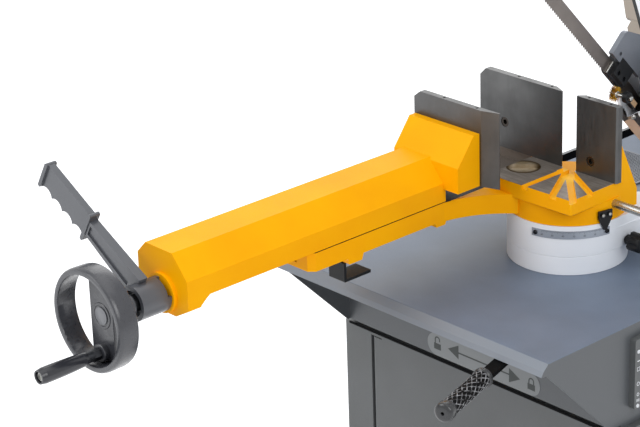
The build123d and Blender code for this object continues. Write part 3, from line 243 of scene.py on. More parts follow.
def threadSteel(name, node, turn, pitch, start):  # a helix round a screw that lies along Y once turned
    material, tree, shader = newMaterial(name)
    low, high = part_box(node)
    middle = (Vector(low) + Vector(high)) / 2
    spin = Matrix.Rotation(turn, 3, "X")
    coords = objectCoords(tree)
    cut = above(tree, split(tree, coords)[1], start)  # smooth before the thread starts
    x, y, z = split(tree, mapped(tree, coords, turn=(turn, 0.0, 0.0), move=-(spin @ middle)))
    angle = calc(tree, "DIVIDE", calc(tree, "ARCTAN2", x, z), 2 * math.pi)
    phase = calc(tree, "ADD", calc(tree, "DIVIDE", y, pitch), angle)
    ridge = times(tree, calc(tree, "PINGPONG", phase, 0.5), cut)
    # the crests are painted lighter and the roots darker as painted highlight and shade
    crest = ramp(tree, ridge, 0.0, 1.0, 0.1, 0.35)
    base = mixColour(tree, crest, linear("#5B5C5F"), linear("#9A9B9C"))
    tree.links.new(base, shader.inputs["Base Color"])
    shader.inputs["Metallic"].default_value = 0.9
    shader.inputs["Roughness"].default_value = 0.3
    bump(tree, shader, ridge, 0.9, pitch * 0.6)
    return material


bed = {"top": -0.023, "right": -0.050, "back": -0.0905, "jaw": -0.0885, "worn": -0.160, "recess": -0.006,
       "bowl": (-0.0275, -0.1475), "bowlRadius": 0.0305, "trough": -0.0145, "edge": (0.1345, -0.2075)}


def castTable():  # painted casting with bare machined faces, painted shade on the slideway and in the recess, and painted light in the troughs
    material, tree, shader = newMaterial("yellowTable")
    coords = objectCoords(tree)
    x, y, z = split(tree, coords)
    plate = below(tree, y, bed["back"])
    left = below(tree, x, bed["right"])
    top = times(tree, plate, level(tree, z, tableTop))
    way = times(tree, level(tree, z, tableTop + bed["top"]), left)
    behind = times(tree, left, between(tree, y, bed["worn"], bed["jaw"]))
    step = times(tree, behind, between(tree, z, tableTop + bed["top"] - skin, tableTop + skin))
    inside = times(tree, below(tree, x, bed["edge"][0]), between(tree, y, bed["edge"][1], bed["back"]))
    inside = times(tree, inside, calc(tree, "SUBTRACT", 1.0, left))
    trough = times(tree, inside, between(tree, z, tableTop + bed["trough"], tableTop - skin))
    fromX, fromY = calc(tree, "SUBTRACT", x, bed["bowl"][0]), calc(tree, "SUBTRACT", y, bed["bowl"][1])
    distance = radial(tree, fromX, fromY)
    nearTop = between(tree, z, tableTop + bed["recess"] - skin, tableTop + skin)
    edge = bed["bowlRadius"]
    bowl = times(tree, nearTop, ramp(tree, distance, 1.0, 0.0, edge - 0.001, edge))
    rim = ramp(tree, distance, 0.0, 1.0, edge - 0.010, edge - 0.003)
    cloud = noise(tree, coords, 9.0, 4.0)
    yellow = mixColour(tree, ramp(tree, cloud), linear("#FFB400"), linear("#FAA900"))
    streak = noise(tree, coords, 220.0, 4.0, (0.15, 1.0, 1.0))
    stainsAndSheen = noise(tree, coords, 26.0, 5.0)
    ground = mixColour(tree, ramp(tree, streak), linear("#978E85"), linear("#81786F"))
    metal = mixColour(tree, ramp(tree, stainsAndSheen, 0.0, 0.6, 0.5, 0.75), ground, linear("#5F5750"))
    worn = mixColour(tree, ramp(tree, stainsAndSheen, 0.0, 0.8, 0.4, 0.6), linear("#BFAF98"), linear("#8D7A58"))
    # the trough floors get a paler yellow as painted light
    base = mixColour(tree, trough, yellow, linear("#FFC524"))
    base = mixColour(tree, top, base, metal)
    # the bare slideway top beside the vise head is painted near-black as painted shade of the gap under the
    # head
    base = mixColour(tree, way, base, linear("#14110F"))
    base = mixColour(tree, step, base, linear("#857C74"))
    # the recess floor is mottled cream and tan, and turns dark brown towards its rim as painted shade
    base = mixColour(tree, bowl, base, mixColour(tree, rim, worn, linear("#4A3A20")))
    tree.links.new(base, shader.inputs["Base Color"])
    tree.links.new(times(tree, calc(tree, "MAXIMUM", top, step), 0.6), shader.inputs["Metallic"])
    fine = noise(tree, coords, 420.0, 2.0)
    tree.links.new(ramp(tree, fine, 0.38, 0.5), shader.inputs["Roughness"])
    shader.inputs["Specular IOR Level"].default_value = 0.09
    bump(tree, shader, fine, 0.2, 0.0001)
    return material


panLimits = {"left": -0.330, "right": -0.2535, "front": -0.250, "back": 0.452, "floor": -0.1545,
             "lip": -0.1735, "fold": -0.440, "side": 0.3085}


def panZones(tree, coords, base):  # painted reflection blotches on the floor, painted shade on the walls, painted light on the front lip, and a dark edge along the far left
    x, y, z = split(tree, coords)
    floorLevel, lipLevel = tableTop + panLimits["floor"], tableTop + panLimits["lip"]
    edge = times(tree, between(tree, x, panLimits["left"], panLimits["right"]),
                 between(tree, y, panLimits["front"], panLimits["back"]))
    edge = times(tree, edge, above(tree, z, floorLevel))
    # pale blue blotches on the floor are painted reflections
    stainsAndSheen = noise(tree, coords, 7.0, 3.0)
    floorSheen = mixColour(tree, ramp(tree, stainsAndSheen, 0.0, 0.5), base, linear("#74849B"))
    # the walls below the floor are painted darker as painted shade
    wallShadeAndLipLight = mixColour(tree, below(tree, z, floorLevel), floorSheen, linear("#525558"))
    # the front lip is painted paler as painted light
    lip = times(tree, between(tree, z, lipLevel, floorLevel), below(tree, y, panLimits["fold"]))
    lip = times(tree, lip, below(tree, x, panLimits["side"]))
    wallShadeAndLipLight = mixColour(tree, lip, wallShadeAndLipLight, linear("#7A818A"))
    shine = calc(tree, "MULTIPLY_ADD", edge, -0.5, 0.5)
    tree.links.new(shine, tree.nodes["Principled BSDF"].inputs["Specular IOR Level"])
    # a near-black band along the far-left edge of the floor, with less specular
    return mixColour(tree, edge, wallShadeAndLipLight, linear("#0B0C0E"))


# metres along, across and out from the cutting line
shieldLine = {"from": 0.052, "to": 0.058, "front": 0.1495, "back": 0.1585, "inside": -0.0525}
hingeBands = {"face": 0.0440, "low": -0.008, "high": 0.004, "end": 0.230, "notch": 0.1695, "notchTop": -0.006}


def bowCoords(tree, coords):
    place = cantedBow().inverted()
    turn = place.to_3x3()
    turn.normalize()
    return split(tree, mapped(tree, coords, turn=tuple(turn.to_euler("XYZ")), move=place.translation / 1000))


def hingeZones(tree, coords, base):  # the lower edge by the rear guide is painted beige as painted shade of the white paint, with a near-black band above it
    s = hingeBands
    along, across, out = bowCoords(tree, coords)
    face = above(tree, out, s["face"])
    beigeShade = times(tree, face, below(tree, across, s["low"]))
    blackStrip = times(tree, face, between(tree, across, s["low"], s["high"]))
    notch = times(tree, below(tree, along, s["notch"]), below(tree, across, s["notchTop"]))
    near = below(tree, along, s["end"])
    # beige here is painted shade on white paint
    withEdgeShade = mixColour(tree, beigeShade, base, linear("#C0A78F"))
    # a near-black band and a near-black notch
    dark = calc(tree, "MAXIMUM", times(tree, blackStrip, near), notch)
    return mixColour(tree, dark, withEdgeShade, linear("#17120F"))


def bowZones(tree, coords, base):  # the shield by the rear guide is painted beige at its edge as painted shade of the white paint, with a near-black line
    s = shieldLine
    along, across, out = bowCoords(tree, coords)
    onShield = times(tree, between(tree, along, s["front"], s["back"]), below(tree, out, s["inside"]))
    # beige is painted shade on the white shield
    withEdgeShade = mixColour(tree, below(tree, across, s["from"]), linear("#F1F3F6"), linear("#A5998C"))
    withBlackLine = mixColour(tree, between(tree, across, s["from"], s["to"]), withEdgeShade, linear("#17181A"))
    return mixColour(tree, onShield, base, withBlackLine)


finish = {
    "yellow_paint": paint("yellowPaint", "#FFB400", "#FAA900", 0.46, 0.0, gloss=0.09),
    "dark_sheet": paint("darkSheet", "#5D5F60", "#575959", 0.5, 0.0, 700.0, 0.0002),
    "pan_sheet": paint("panSheet", "#5E6A7B", "#576374", 0.4, 0.0, 700.0, 0.0002, 5.0, panZones),
    "white_paint": paint("whitePaint", "#F2F4F8", "#EAEDF2", 0.4, 0.1),
    "jaw_steel": steel("jawSteel", "#636363", "#535353", 0.38, (1.0, 1.0, 0.12)),
    "bright_steel": steel("brightSteel", "#B9B9B6", "#A8A8A4", 0.25),
    "dark_cast": paint("darkCast", "#4F5257", "#474A4F", 0.5, 0.05, 300.0, 0.0003),
    "black_plastic": plastic("blackPlastic", "#161719", "#1D1E20", 0.4, 900.0, 0.2),
    "grey_plate": steel("greyPlate", "#7C8087", "#70747B", 0.42, (1.0, 1.0, 1.0), 300.0, 0.5),
    "band_steel": steel("bandSteel", "#857E79", "#746D69", 0.38, (1.0, 0.1, 0.1), 300.0),
    "brass": steel("brassWire", "#C9A13F", "#AD8327", 0.35),
    "red_plastic": plastic("redPlastic", "#C4161C", "#B01318", 0.25),
    "green_plastic": plastic("greenPlastic", "#1C8A3A", "#187A33", 0.25),
    "scale_plate": steel("scalePlate", "#A6ACB6", "#9AA0AA", 0.35, (1.0, 1.0, 0.1), 400.0, 0.5),
    "motor_paint": paint("motorPaint", "#5D6167", "#55595F", 0.5, 0.05, 300.0, 0.0003),
}
special = {
    "saw_table": castTable(),
    "vise_screw": threadSteel("viseThread", "vise_screw", 0.0, 0.005, -0.870),
    "tension_screw": threadSteel("tensionThread", "tension_screw", -bowRaised, 0.002, -9.0),
    "bow_frame": paint("bowPaint", "#F2F4F8", "#EAEDF2", 0.4, 0.1, zones=bowZones),
    "hinge_side": paint("hingePaint", "#F2F4F8", "#EAEDF2", 0.4, 0.1, zones=hingeZones),
    "clamp_lever": paint("leverCast", "#525459", "#4A4C51", 0.34, 0.3, 300.0, 0.0003),
    "crank_axle": steel("darkAxle", "#4C4E52", "#414347", 0.4),
    "lock_lever": paint("blackLever", "#08090A", "#0C0D0E", 0.6, 0.0, gloss=0.04),
    "handwheel": paint("wheelGloss", "#3B3C41", "#34353A", 0.3, 0.35, 160.0, 0.00002),
    "crank_grip": plastic("crankGloss", "#303136", "#292A2F", 0.16),
    "fixed_jaw_bolts": steel("blackBolt", "#4A443F", "#3B3632", 0.3),
}
special["moving_jaw_bolts"] = special["fixed_jaw_bolts"]
# white shield paint coloured beige as painted shade
shieldShadeBeige = paint("shieldShadeBeige", "#A5998C", "#9E9285", 0.45, 0.05)
gripCap = plastic("gripCap", "#2A2B2D", "#303133", 0.2)
hubGrey = paint("hubGrey", "#8B8C8F", "#838487", 0.4, 0.1)
# a tan metal for the brush arm
tanArmMetal = steel("tanArm", "#B99A78", "#A3835F", 0.4, (1.0, 0.2, 0.2), 300.0, 0.35)
darkInk = paint("darkInk", "#3C3F3E", "#444746", 0.6, 0.0)
whiteInk = paint("whiteInk", "#E8EAEC", "#DFE2E5", 0.5, 0.0)
signGrey = paint("signGrey", "#808384", "#797C7D", 0.45, 0.1)
signInk = paint("signInk", "#4C4F4E", "#535655", 0.6, 0.0, gloss=0.2)
blackSteel = steel("blackScrew", "#26272A", "#323337", 0.36)
for name, piece in nodes.items():
    piece.data.materials.clear()
    piece.data.materials.append(special.get(name) or finish[slotOf[name]])
print("materials set")

edgeWidth = {"saw_table": 0.0022, "vise_slide": 0.003, "swivel_arm": 0.003, "turret_ring": 0.002,
             "bow_frame": 0.002, "hinge_side": 0.003, "idler_cover": 0.003, "clamp_lever": 0.0016,
             "fixed_jaw_left": 0.0008, "fixed_jaw_right": 0.0008, "moving_jaw": 0.0008, "chip_pan": 0.0012,
             "stand_cabinet": 0.0014, "cabinet_door": 0.0014, "lock_lever": 0.001,
             "rear_guide_block": 0.0012, "rear_guide_bracket": 0.001, "front_guide_arm": 0.0012,
             "control_panel": 0.0012, "gearbox": 0.002}


def rounded(piece, width):
    edge = piece.modifiers.new("edge", "BEVEL")
    edge.width = width
    edge.segments = 2
    return edge


for name, width in edgeWidth.items():
    piece = nodes[name]
    weld = piece.modifiers.new("weld", "WELD")
    weld.merge_threshold = 0.00001
    edge = rounded(piece, width)
    edge.limit_method = "ANGLE"
    edge.angle_limit = math.radians(38)
    edge.harden_normals = True
    piece.modifiers.new("normals", "WEIGHTED_NORMAL").keep_sharp = True
print("edges rounded")


def newObject(name, mesh):
    thing = bpy.data.objects.new(name, mesh)
    bpy.context.collection.objects.link(thing)
    return thing


def cleanMesh(name, shape):
    verts, faces = shape
    mesh = bpy.data.meshes.new(name)
    mesh.from_pydata(verts, [], faces)
    work = bmesh.new()
    work.from_mesh(mesh)
    bmesh.ops.remove_doubles(work, verts=work.verts[:], dist=0.000001)
    bmesh.ops.recalc_face_normals(work, faces=work.faces[:])
    work.to_mesh(mesh)
    work.free()
    return mesh


def newPiece(name, shape, place, material, body, smooth=False):
    mesh = cleanMesh(name, shape)
    mesh.transform(place)
    mesh.materials.append(material)
    if smooth:
        mesh.shade_smooth()
        mesh.set_sharp_from_angle(angle=math.radians(35))
    piece = newObject(name, mesh)
    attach(piece, body)
    return piece


def prism(outlines, base, top):  # flat shapes, counter-clockwise, with a little thickness
    verts, faces = [], []
    for points in outlines:
        first, count = len(verts), len(points)
        verts += [(u, v, base) for u, v in points]
        verts += [(u, v, top) for u, v in points]
        faces.append([first + i for i in reversed(range(count))])
        faces.append([first + count + i for i in range(count)])
        for i in range(count):
            j = (i + 1) % count
            faces.append([first + i, first + j, first + count + j, first + count + i])
    return verts, faces


def arc(u, v, radius, start, end, steps=16):
    angles = [math.radians(start + (end - start) * i / steps) for i in range(steps + 1)]
    return [(u + radius * math.cos(a), v + radius * math.sin(a)) for a in angles]


def ringBand(u, v, outer, inner, start=0.0, end=359.9, steps=28):
    return arc(u, v, outer, start, end, steps) + arc(u, v, inner, end, start, steps)


def box(u0, u1, v0, v1):
    return [(u0, v0), (u1, v0), (u1, v1), (u0, v1)]


def lathe(profile, steps=48):  # radius and height pairs turned about the local Z axis
    verts, faces = [], []
    for radius, height in profile:
        for k in range(steps):
            a = 2 * math.pi * k / steps
            verts.append((radius * math.cos(a), radius * math.sin(a), height))
    for row in range(len(profile) - 1):
        for k in range(steps):
            n = (k + 1) % steps
            corners = [row * steps + k, row * steps + n, (row + 1) * steps + n, (row + 1) * steps + k]
            faces.append(corners)
    return verts, faces


def newTree(name, sizes):
    tree = bpy.data.node_groups.new(name, "GeometryNodeTree")
    tree.interface.new_socket("Geometry", in_out="INPUT", socket_type="NodeSocketGeometry")
    for label, value in sizes.items():
        kind = "NodeSocketInt" if isinstance(value, int) else "NodeSocketFloat"
        tree.interface.new_socket(label, in_out="INPUT", socket_type=kind).default_value = value
    tree.interface.new_socket("Geometry", in_out="OUTPUT", socket_type="NodeSocketGeometry")
    return tree, tree.nodes.new("NodeGroupInput").outputs


def closeTree(tree, geometry, material):
    real = add(tree, "GeometryNodeRealizeInstances")
    tree.links.new(geometry, real.inputs["Geometry"])
    coat = add(tree, "GeometryNodeSetMaterial")
    coat.inputs["Material"].default_value = material
    tree.links.new(real.outputs["Geometry"], coat.inputs["Geometry"])
    tree.links.new(coat.outputs["Geometry"], add(tree, "NodeGroupOutput").inputs[0])


def combine(tree, x, y, z):
    node = add(tree, "ShaderNodeCombineXYZ")
    for socket, value in zip(node.inputs, (x, y, z)):
        put(tree, socket, value)
    return node.outputs[0]


def chance(tree, low, high, seed):  # a fixed random number for each point
    node = add(tree, "FunctionNodeRandomValue", data_type="FLOAT")
    put(tree, node.inputs[2], low)
    put(tree, node.inputs[3], high)
    put(tree, node.inputs[8], seed)
    return node.outputs[1]


def pointed(tree, vector):
    node = add(tree, "FunctionNodeAlignRotationToVector", axis="Z")
    tree.links.new(vector, node.inputs["Vector"])
    return node.outputs[0]


def placed(tree, points, shape, rotation=None, scale=None):
    node = add(tree, "GeometryNodeInstanceOnPoints")
    tree.links.new(points, node.inputs["Points"])
    tree.links.new(shape, node.inputs["Instance"])
    if rotation:
        tree.links.new(rotation, node.inputs["Rotation"])
    if scale:
        tree.links.new(scale, node.inputs["Scale"])
    return node.outputs[0]


def pattern(tree, thing):
    node = add(tree, "GeometryNodeObjectInfo")
    node.inputs["Object"].default_value = thing
    return node.outputs["Geometry"]


def grow(name, tree, sizes, body, place=None, seedMesh=None):
    piece = newObject(name, seedMesh or bpy.data.meshes.new(name))
    modifier = piece.modifiers.new("grow", "NODES")
    modifier.node_group = tree
    for item in tree.interface.items_tree:
        if item.in_out == "INPUT" and item.name in sizes:
            modifier[item.identifier] = sizes[item.name]
    grown = piece.evaluated_get(bpy.context.evaluated_depsgraph_get())
    mesh = bpy.data.meshes.new_from_object(grown)
    piece.modifiers.remove(modifier)
    piece.data = mesh
    mesh.name = name
    if place:
        mesh.transform(place)
    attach(piece, body)
    return piece


# one screw tree serves every row of screws: a domed head with a socket
headProfile = [(1.0, -0.05), (1.0, 0.3), (0.82, 0.58), (0.5, 0.66), (0.5, 0.3), (0.0, 0.3)]
screwHead = newObject("screwHead", cleanMesh("screwHead", lathe(headProfile, 12)))


def screws(name, spots, radius, material, body):
    tree, given = newTree(name + "Tree", {"Head Radius": radius})
    seed = bpy.data.meshes.new(name)
    seed.from_pydata([spot for spot, out in spots], [], [])
    outward = seed.attributes.new("outward", "FLOAT_VECTOR", "POINT")
    for i, (spot, out) in enumerate(spots):
        outward.data[i].vector = out
    read = add(tree, "GeometryNodeInputNamedAttribute", data_type="FLOAT_VECTOR")
    read.inputs["Name"].default_value = "outward"
    size = combine(tree, given["Head Radius"], given["Head Radius"], given["Head Radius"])
    heads = placed(tree, given["Geometry"], pattern(tree, screwHead), pointed(tree, read.outputs[0]), size)
    closeTree(tree, heads, material)
    return grow(name, tree, {"Head Radius": radius}, body, None, seed)


brush = {"y": 123.0, "z": -18.0, "left": 1.6, "right": 14.4, "hub": 5.4, "tip": 13.9, "strands": 330}


def brushAxle():
    return raisedBow() @ facing(at(0, brush["y"], brush["z"]), (1, 0, 0)) @ millimetres


def chipBrush():
    corners = [(0.00042, 0, 0), (-0.00021, 0.00036, 0), (-0.00021, -0.00036, 0),
               (0.0002, 0, 1), (-0.0001, 0.00017, 1), (-0.0001, -0.00017, 1)]
    sides = [(0, 1, 4, 3), (1, 2, 5, 4), (2, 0, 3, 5), (3, 4, 5), (2, 1, 0)]
    strand = newObject("strand", cleanMesh("strand", (corners, sides)))
    sizes = {"Strands": brush["strands"], "Width": (brush["right"] - brush["left"] - 1.0) / 1000,
             "Hub": brush["hub"] / 1000, "Reach": (brush["tip"] - brush["hub"]) / 1000, "Seed": 7}
    tree, given = newTree("wireBristles", sizes)
    points = add(tree, "GeometryNodePoints")
    tree.links.new(given["Strands"], points.inputs["Count"])
    number = add(tree, "GeometryNodeInputIndex").outputs[0]
    angle = times(tree, number, 2.399963)
    rise, run = calc(tree, "SINE", angle), calc(tree, "COSINE", angle)
    along = times(tree, given["Width"], chance(tree, 0.0, 1.0, given["Seed"]))
    root = combine(tree, along, times(tree, given["Hub"], run), times(tree, given["Hub"], rise))
    tree.links.new(root, points.inputs["Position"])
    sway = chance(tree, -0.16, 0.16, calc(tree, "ADD", given["Seed"], 3.0))
    stray = chance(tree, -0.2, 0.2, calc(tree, "ADD", given["Seed"], 5.0))
    out = combine(tree, times(tree, sway, 0.4), calc(tree, "ADD", run, times(tree, rise, stray)),
                  calc(tree, "SUBTRACT", rise, times(tree, run, stray)))
    length = times(tree, given["Reach"], chance(tree, 0.86, 0.98, calc(tree, "ADD", given["Seed"], 9.0)))
    size = combine(tree, 1.0, 1.0, length)
    wires = placed(tree, points.outputs[0], pattern(tree, strand), pointed(tree, out), size)
    closeTree(tree, wires, finish["brass"])
    place = raisedBow() @ Matrix.Translation(at(brush["left"] + 0.5, brush["y"], brush["z"]))
    bristles = grow("chipBrushBristles", tree, sizes, "brush", place)
    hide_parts("chip_brush")
    bpy.data.objects.remove(strand)
    hub = [(0, 1.7), (5.6, 1.7), (6.0, 2.2), (6.0, 13.9), (5.6, 14.3), (4.0, 14.3), (4.0, 45.6), (3.4, 46.0),
           (0, 46.0)]
    newPiece("chipBrushHub", lathe(hub), brushAxle(), finish["bright_steel"], "brush", True)
    print("chip brush", len(bristles.data.polygons), "faces")


brushArm = {"left": 31.0, "right": 40.0, "low": -22.0, "high": -12.0, "front": 124.0, "wall": 149.9}


def brushBracket():  # a flat bar from the wall of the bow carries the brush in a black clamp
    b = brushArm
    place = bowPlace()
    bar = box(b["left"], b["right"], b["front"], b["wall"])
    arm = newPiece("brushArm", prism([bar], b["low"], b["high"]), place, tanArmMetal, "bow")
    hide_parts("brush_bracket")
    rounded(arm, 0.0008)
    edges = [box(b["left"] - 0.3, b["right"] + 0.6, b["front"] + 6, b["wall"])]
    blackStrip = prism(edges, b["low"] - 2.6, b["low"] - 0.1)
    newPiece("brushArmSeal", blackStrip, place, blackSteel, "bow")
    clamp = [(4.3, 30.4), (9.2, 30.4), (10.0, 31.2), (10.0, 39.8), (9.2, 40.6), (4.3, 40.6), (4.3, 30.4)]
    newPiece("brushClamp", lathe(clamp), brushAxle(), finish["black_plastic"], "bow", True)
    print("brush arm set")


shieldEdge = [(30.6, -127.5), (42.0, -140.1), (52.0, -129.6), (52.0, -96.0), (29.0, -96.0), (30.0, -117.0)]
shieldSeal = [(52.0, -129.6), (53.9, -127.6), (53.9, -96.0), (52.0, -96.0)]
shieldFaces = (150.2, 157.8)


def shieldCorner():  # the shield's edge goes down behind the rear guide's plate
    turn = Matrix(((0, 0, 1), (1, 0, 0), (0, 1, 0))).to_4x4()
    place = cantedBow() @ turn
    black = finish["black_plastic"]
    # the corner is beige as painted shade, with a near-black line
    newPiece("shieldCorner", prism([shieldEdge], *shieldFaces), place, shieldShadeBeige, "bow")
    newPiece("shieldSeal", prism([shieldSeal], *shieldFaces), place, black, "bow")
    print("shield corner set")


grip = {"origin": (184, -366, -178), "turn": 17.0, "start": 56.0, "end": 196.0, "radius": 13.3, "depth": 1.5,
        "starts": 5, "lead": 190.0}


def knurled(place):  # black rubber, with painted highlights on the crests
    material, tree, shader = newMaterial("gripKnurl")
    local = place.inverted()
    coords = objectCoords(tree)
    turned = mapped(tree, coords, turn=tuple(local.to_3x3().to_euler("XYZ")), move=local.translation)
    x, y, z = split(tree, turned)
    radius = radial(tree, y, z)
    crest = ramp(tree, radius, 0.0, 1.0, (grip["radius"] + 0.75) / 1000, (grip["radius"] + 1.4) / 1000)
    # painted highlights on the crests
    crestGlint = times(tree, crest, ramp(tree, noise(tree, coords, 130.0, 2.0), 0.0, 1.0, 0.38, 0.62))
    tree.links.new(mixColour(tree, crestGlint, linear("#060607"), linear("#A8A8AA")), shader.inputs["Base Color"])
    fine = noise(tree, coords, 900.0, 2.0)
    tree.links.new(ramp(tree, fine, 0.3, 0.45), shader.inputs["Roughness"])
    shader.inputs["Specular IOR Level"].default_value = 0.08
    return material


def lockGrip():
    turn = math.radians(grip["turn"])
    direction = Vector((math.sin(turn), -math.cos(turn), 0.0))
    sizes = {"Length": (grip["end"] - grip["start"] - 27.0) / 1000, "Radius": grip["radius"] / 1000,
             "Depth": grip["depth"] / 1000, "Starts": grip["starts"], "Lead": grip["lead"]}
    tree, given = newTree("diamondGrip", sizes)
    sheet = add(tree, "GeometryNodeMeshGrid")
    tree.links.new(given["Length"], sheet.inputs["Size X"])
    sheet.inputs["Size Y"].default_value = 1.0
    sheet.inputs["Vertices X"].default_value = 150
    sheet.inputs["Vertices Y"].default_value = 133
    x, y, z = split(tree, add(tree, "GeometryNodeInputPosition").outputs[0])
    along = calc(tree, "ADD", x, times(tree, given["Length"], 0.5))
    angle = times(tree, y, -2 * math.pi)
    spun, led = times(tree, angle, given["Starts"]), times(tree, along, given["Lead"])
    first = calc(tree, "ABSOLUTE", calc(tree, "SINE", calc(tree, "ADD", spun, led)))
    second = calc(tree, "ABSOLUTE", calc(tree, "SINE", calc(tree, "SUBTRACT", spun, led)))
    peak = calc(tree, "POWER", calc(tree, "MAXIMUM", first, second), 9.0)
    radius = calc(tree, "MULTIPLY_ADD", given["Depth"], peak, given["Radius"])
    shaped = add(tree, "GeometryNodeSetPosition")
    tree.links.new(sheet.outputs["Mesh"], shaped.inputs["Geometry"])
    run, rise = calc(tree, "COSINE", angle), calc(tree, "SINE", angle)
    rolled = combine(tree, along, times(tree, radius, run), times(tree, radius, rise))
    tree.links.new(rolled, shaped.inputs["Position"])
    closed = add(tree, "GeometryNodeMergeByDistance")
    closed.inputs["Distance"].default_value = 0.00001
    tree.links.new(shaped.outputs[0], closed.inputs["Geometry"])
    place = direction.to_track_quat("X", "Z").to_matrix().to_4x4()
    place.translation = at(*grip["origin"]) + direction * (grip["start"] + 8.0) / 1000
    closeTree(tree, closed.outputs[0], knurled(place))
    sleeve = grow("lockGripSleeve", tree, sizes, "lock", place)
    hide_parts("lock_grip")
    s, e = grip["start"], grip["end"]
    axis = facing(at(*grip["origin"]), direction) @ millimetres
    collar = [(8.4, s), (16.6, s), (17.1, s + 0.6), (17.1, s + 2.6), (16.4, s + 3.1), (16.4, s + 3.7),
              (17.1, s + 4.2), (17.1, s + 6.4), (16.6, s + 7), (14.9, s + 8.6), (12.0, s + 9.0),
              (8.4, s + 9.0), (8.4, s)]
    newPiece("lockGripCollar", lathe(collar), axis, gripCap, "lock", True)
    cap = [(12.0, e - 21), (14.8, e - 20.6), (16.0, e - 17.6), (16.3, e - 16.6)]
    for degrees in range(0, 91, 10):
        a = math.radians(degrees)
        cap.append((16.3 - 8.3 * (1 - math.cos(a)), e - 6 + 6 * math.sin(a)))
    cap += [(3.2, e - 0.1), (3.0, e - 0.4), (3.0, e - 9), (0, e - 9)]
    newPiece("lockGripCap", lathe(cap), axis, gripCap, "lock", True)
    print("lever grip", len(sleeve.data.polygons), "faces")


scale = {"radius": 105.7, "top": -73.4, "zero": -12.4, "last": 60, "tick": 2.6, "numeral": 4.6}


def mitreMarks():
    sizes = {"Count": scale["last"] + 1, "Radius": scale["radius"] / 1000, "Top": scale["top"] / 1000,
             "Start": math.radians(scale["zero"]), "Tick": scale["tick"] / 1000}
    tree, given = newTree("degreeTicks", sizes)
    points = add(tree, "GeometryNodePoints")
    tree.links.new(given["Count"], points.inputs["Count"])
    number = add(tree, "GeometryNodeInputIndex").outputs[0]
    angle = calc(tree, "SUBTRACT", given["Start"], times(tree, number, math.radians(1.0)))
    five = below(tree, calc(tree, "MODULO", number, 5.0), 0.5)
    ten = below(tree, calc(tree, "MODULO", number, 10.0), 0.5)
    longer = calc(tree, "MULTIPLY_ADD", calc(tree, "ADD", five, ten), 0.45, 1.0)
    length = times(tree, given["Tick"], longer)
    middle = calc(tree, "SUBTRACT", given["Top"], times(tree, length, 0.5))
    run, rise = calc(tree, "COSINE", angle), calc(tree, "SINE", angle)
    spot = combine(tree, times(tree, given["Radius"], run), times(tree, given["Radius"], rise), middle)
    tree.links.new(spot, points.inputs["Position"])
    mark = add(tree, "GeometryNodeMeshCube")
    mark.inputs["Size"].default_value = (0.0003, 0.00042, 1.0)
    turned = add(tree, "FunctionNodeEulerToRotation")
    tree.links.new(combine(tree, 0.0, 0.0, angle), turned.inputs[0])
    size = combine(tree, 1.0, 1.0, length)
    ticks = placed(tree, points.outputs[0], mark.outputs["Mesh"], turned.outputs[0], size)
    closeTree(tree, ticks, darkInk)
    grow("mitreTicks", tree, sizes, "swivel", Matrix.Translation(at(0, 0, 0)))
    for degrees in range(0, scale["last"] + 1, 10):
        text = bpy.data.curves.new("mitreNumeral", "FONT")
        text.body = str(degrees)
        text.size = scale["numeral"] / 1000
        text.align_x = "CENTER"
        text.extrude = 0.00008
        text.resolution_u = 4
        letter = newObject("mitreNumeralText", text)
        mesh = bpy.data.meshes.new_from_object(letter.evaluated_get(bpy.context.evaluated_depsgraph_get()))
        bpy.data.objects.remove(letter)
        for point in mesh.vertices:
            a = math.radians(scale["zero"] - degrees) + point.co.x / (scale["radius"] / 1000)
            r = scale["radius"] / 1000 + point.co.z
            point.co = at(0, 0, scale["top"] - 9.8) + Vector((r * math.cos(a), r * math.sin(a), point.co.y))
        mesh.materials.clear()
        mesh.materials.append(darkInk)
        numeral = newObject("mitreNumeral" + str(degrees), mesh)
        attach(numeral, "swivel")
    print("mitre scale marked")


sign = {"left": -149.0, "right": 117.0, "low": -329.0, "high": -286.0, "wall": -196.0, "thick": 0.5,
        "open": (-133.0, -116.4, -317.0, -305.3, 2.0), "shut": (88.7, 105.6, -318.6, -307.3, 0.0),
        "shaft": (-74.0, 46.5, -308.0, -305.2)}
# a black strip over the shadow gap under the pan, as painted shade
panSeal = (-350.0, 286.0, -338.0, -333.5)
doorLip = (-266.0, 226.0, -347.0, -338.2)


def padlock(left, right, low, high, gap):  # gap lifts one leg of an open lock
    middle, half = (left + right) / 2, (right - left) / 2
    outer, inner, top = half * 0.78, half * 0.48, high + 5.0 + gap
    foot = high + 2.0 * gap
    hoop = [(middle - outer, high)] + arc(middle, top, outer, 180, 0, 12)
    hoop += [(middle + outer, foot), (middle + inner, foot)]
    hoop += arc(middle, top, inner, 0, 180, 12) + [(middle - inner, high)]
    return [box(left, right, low, high), hoop]


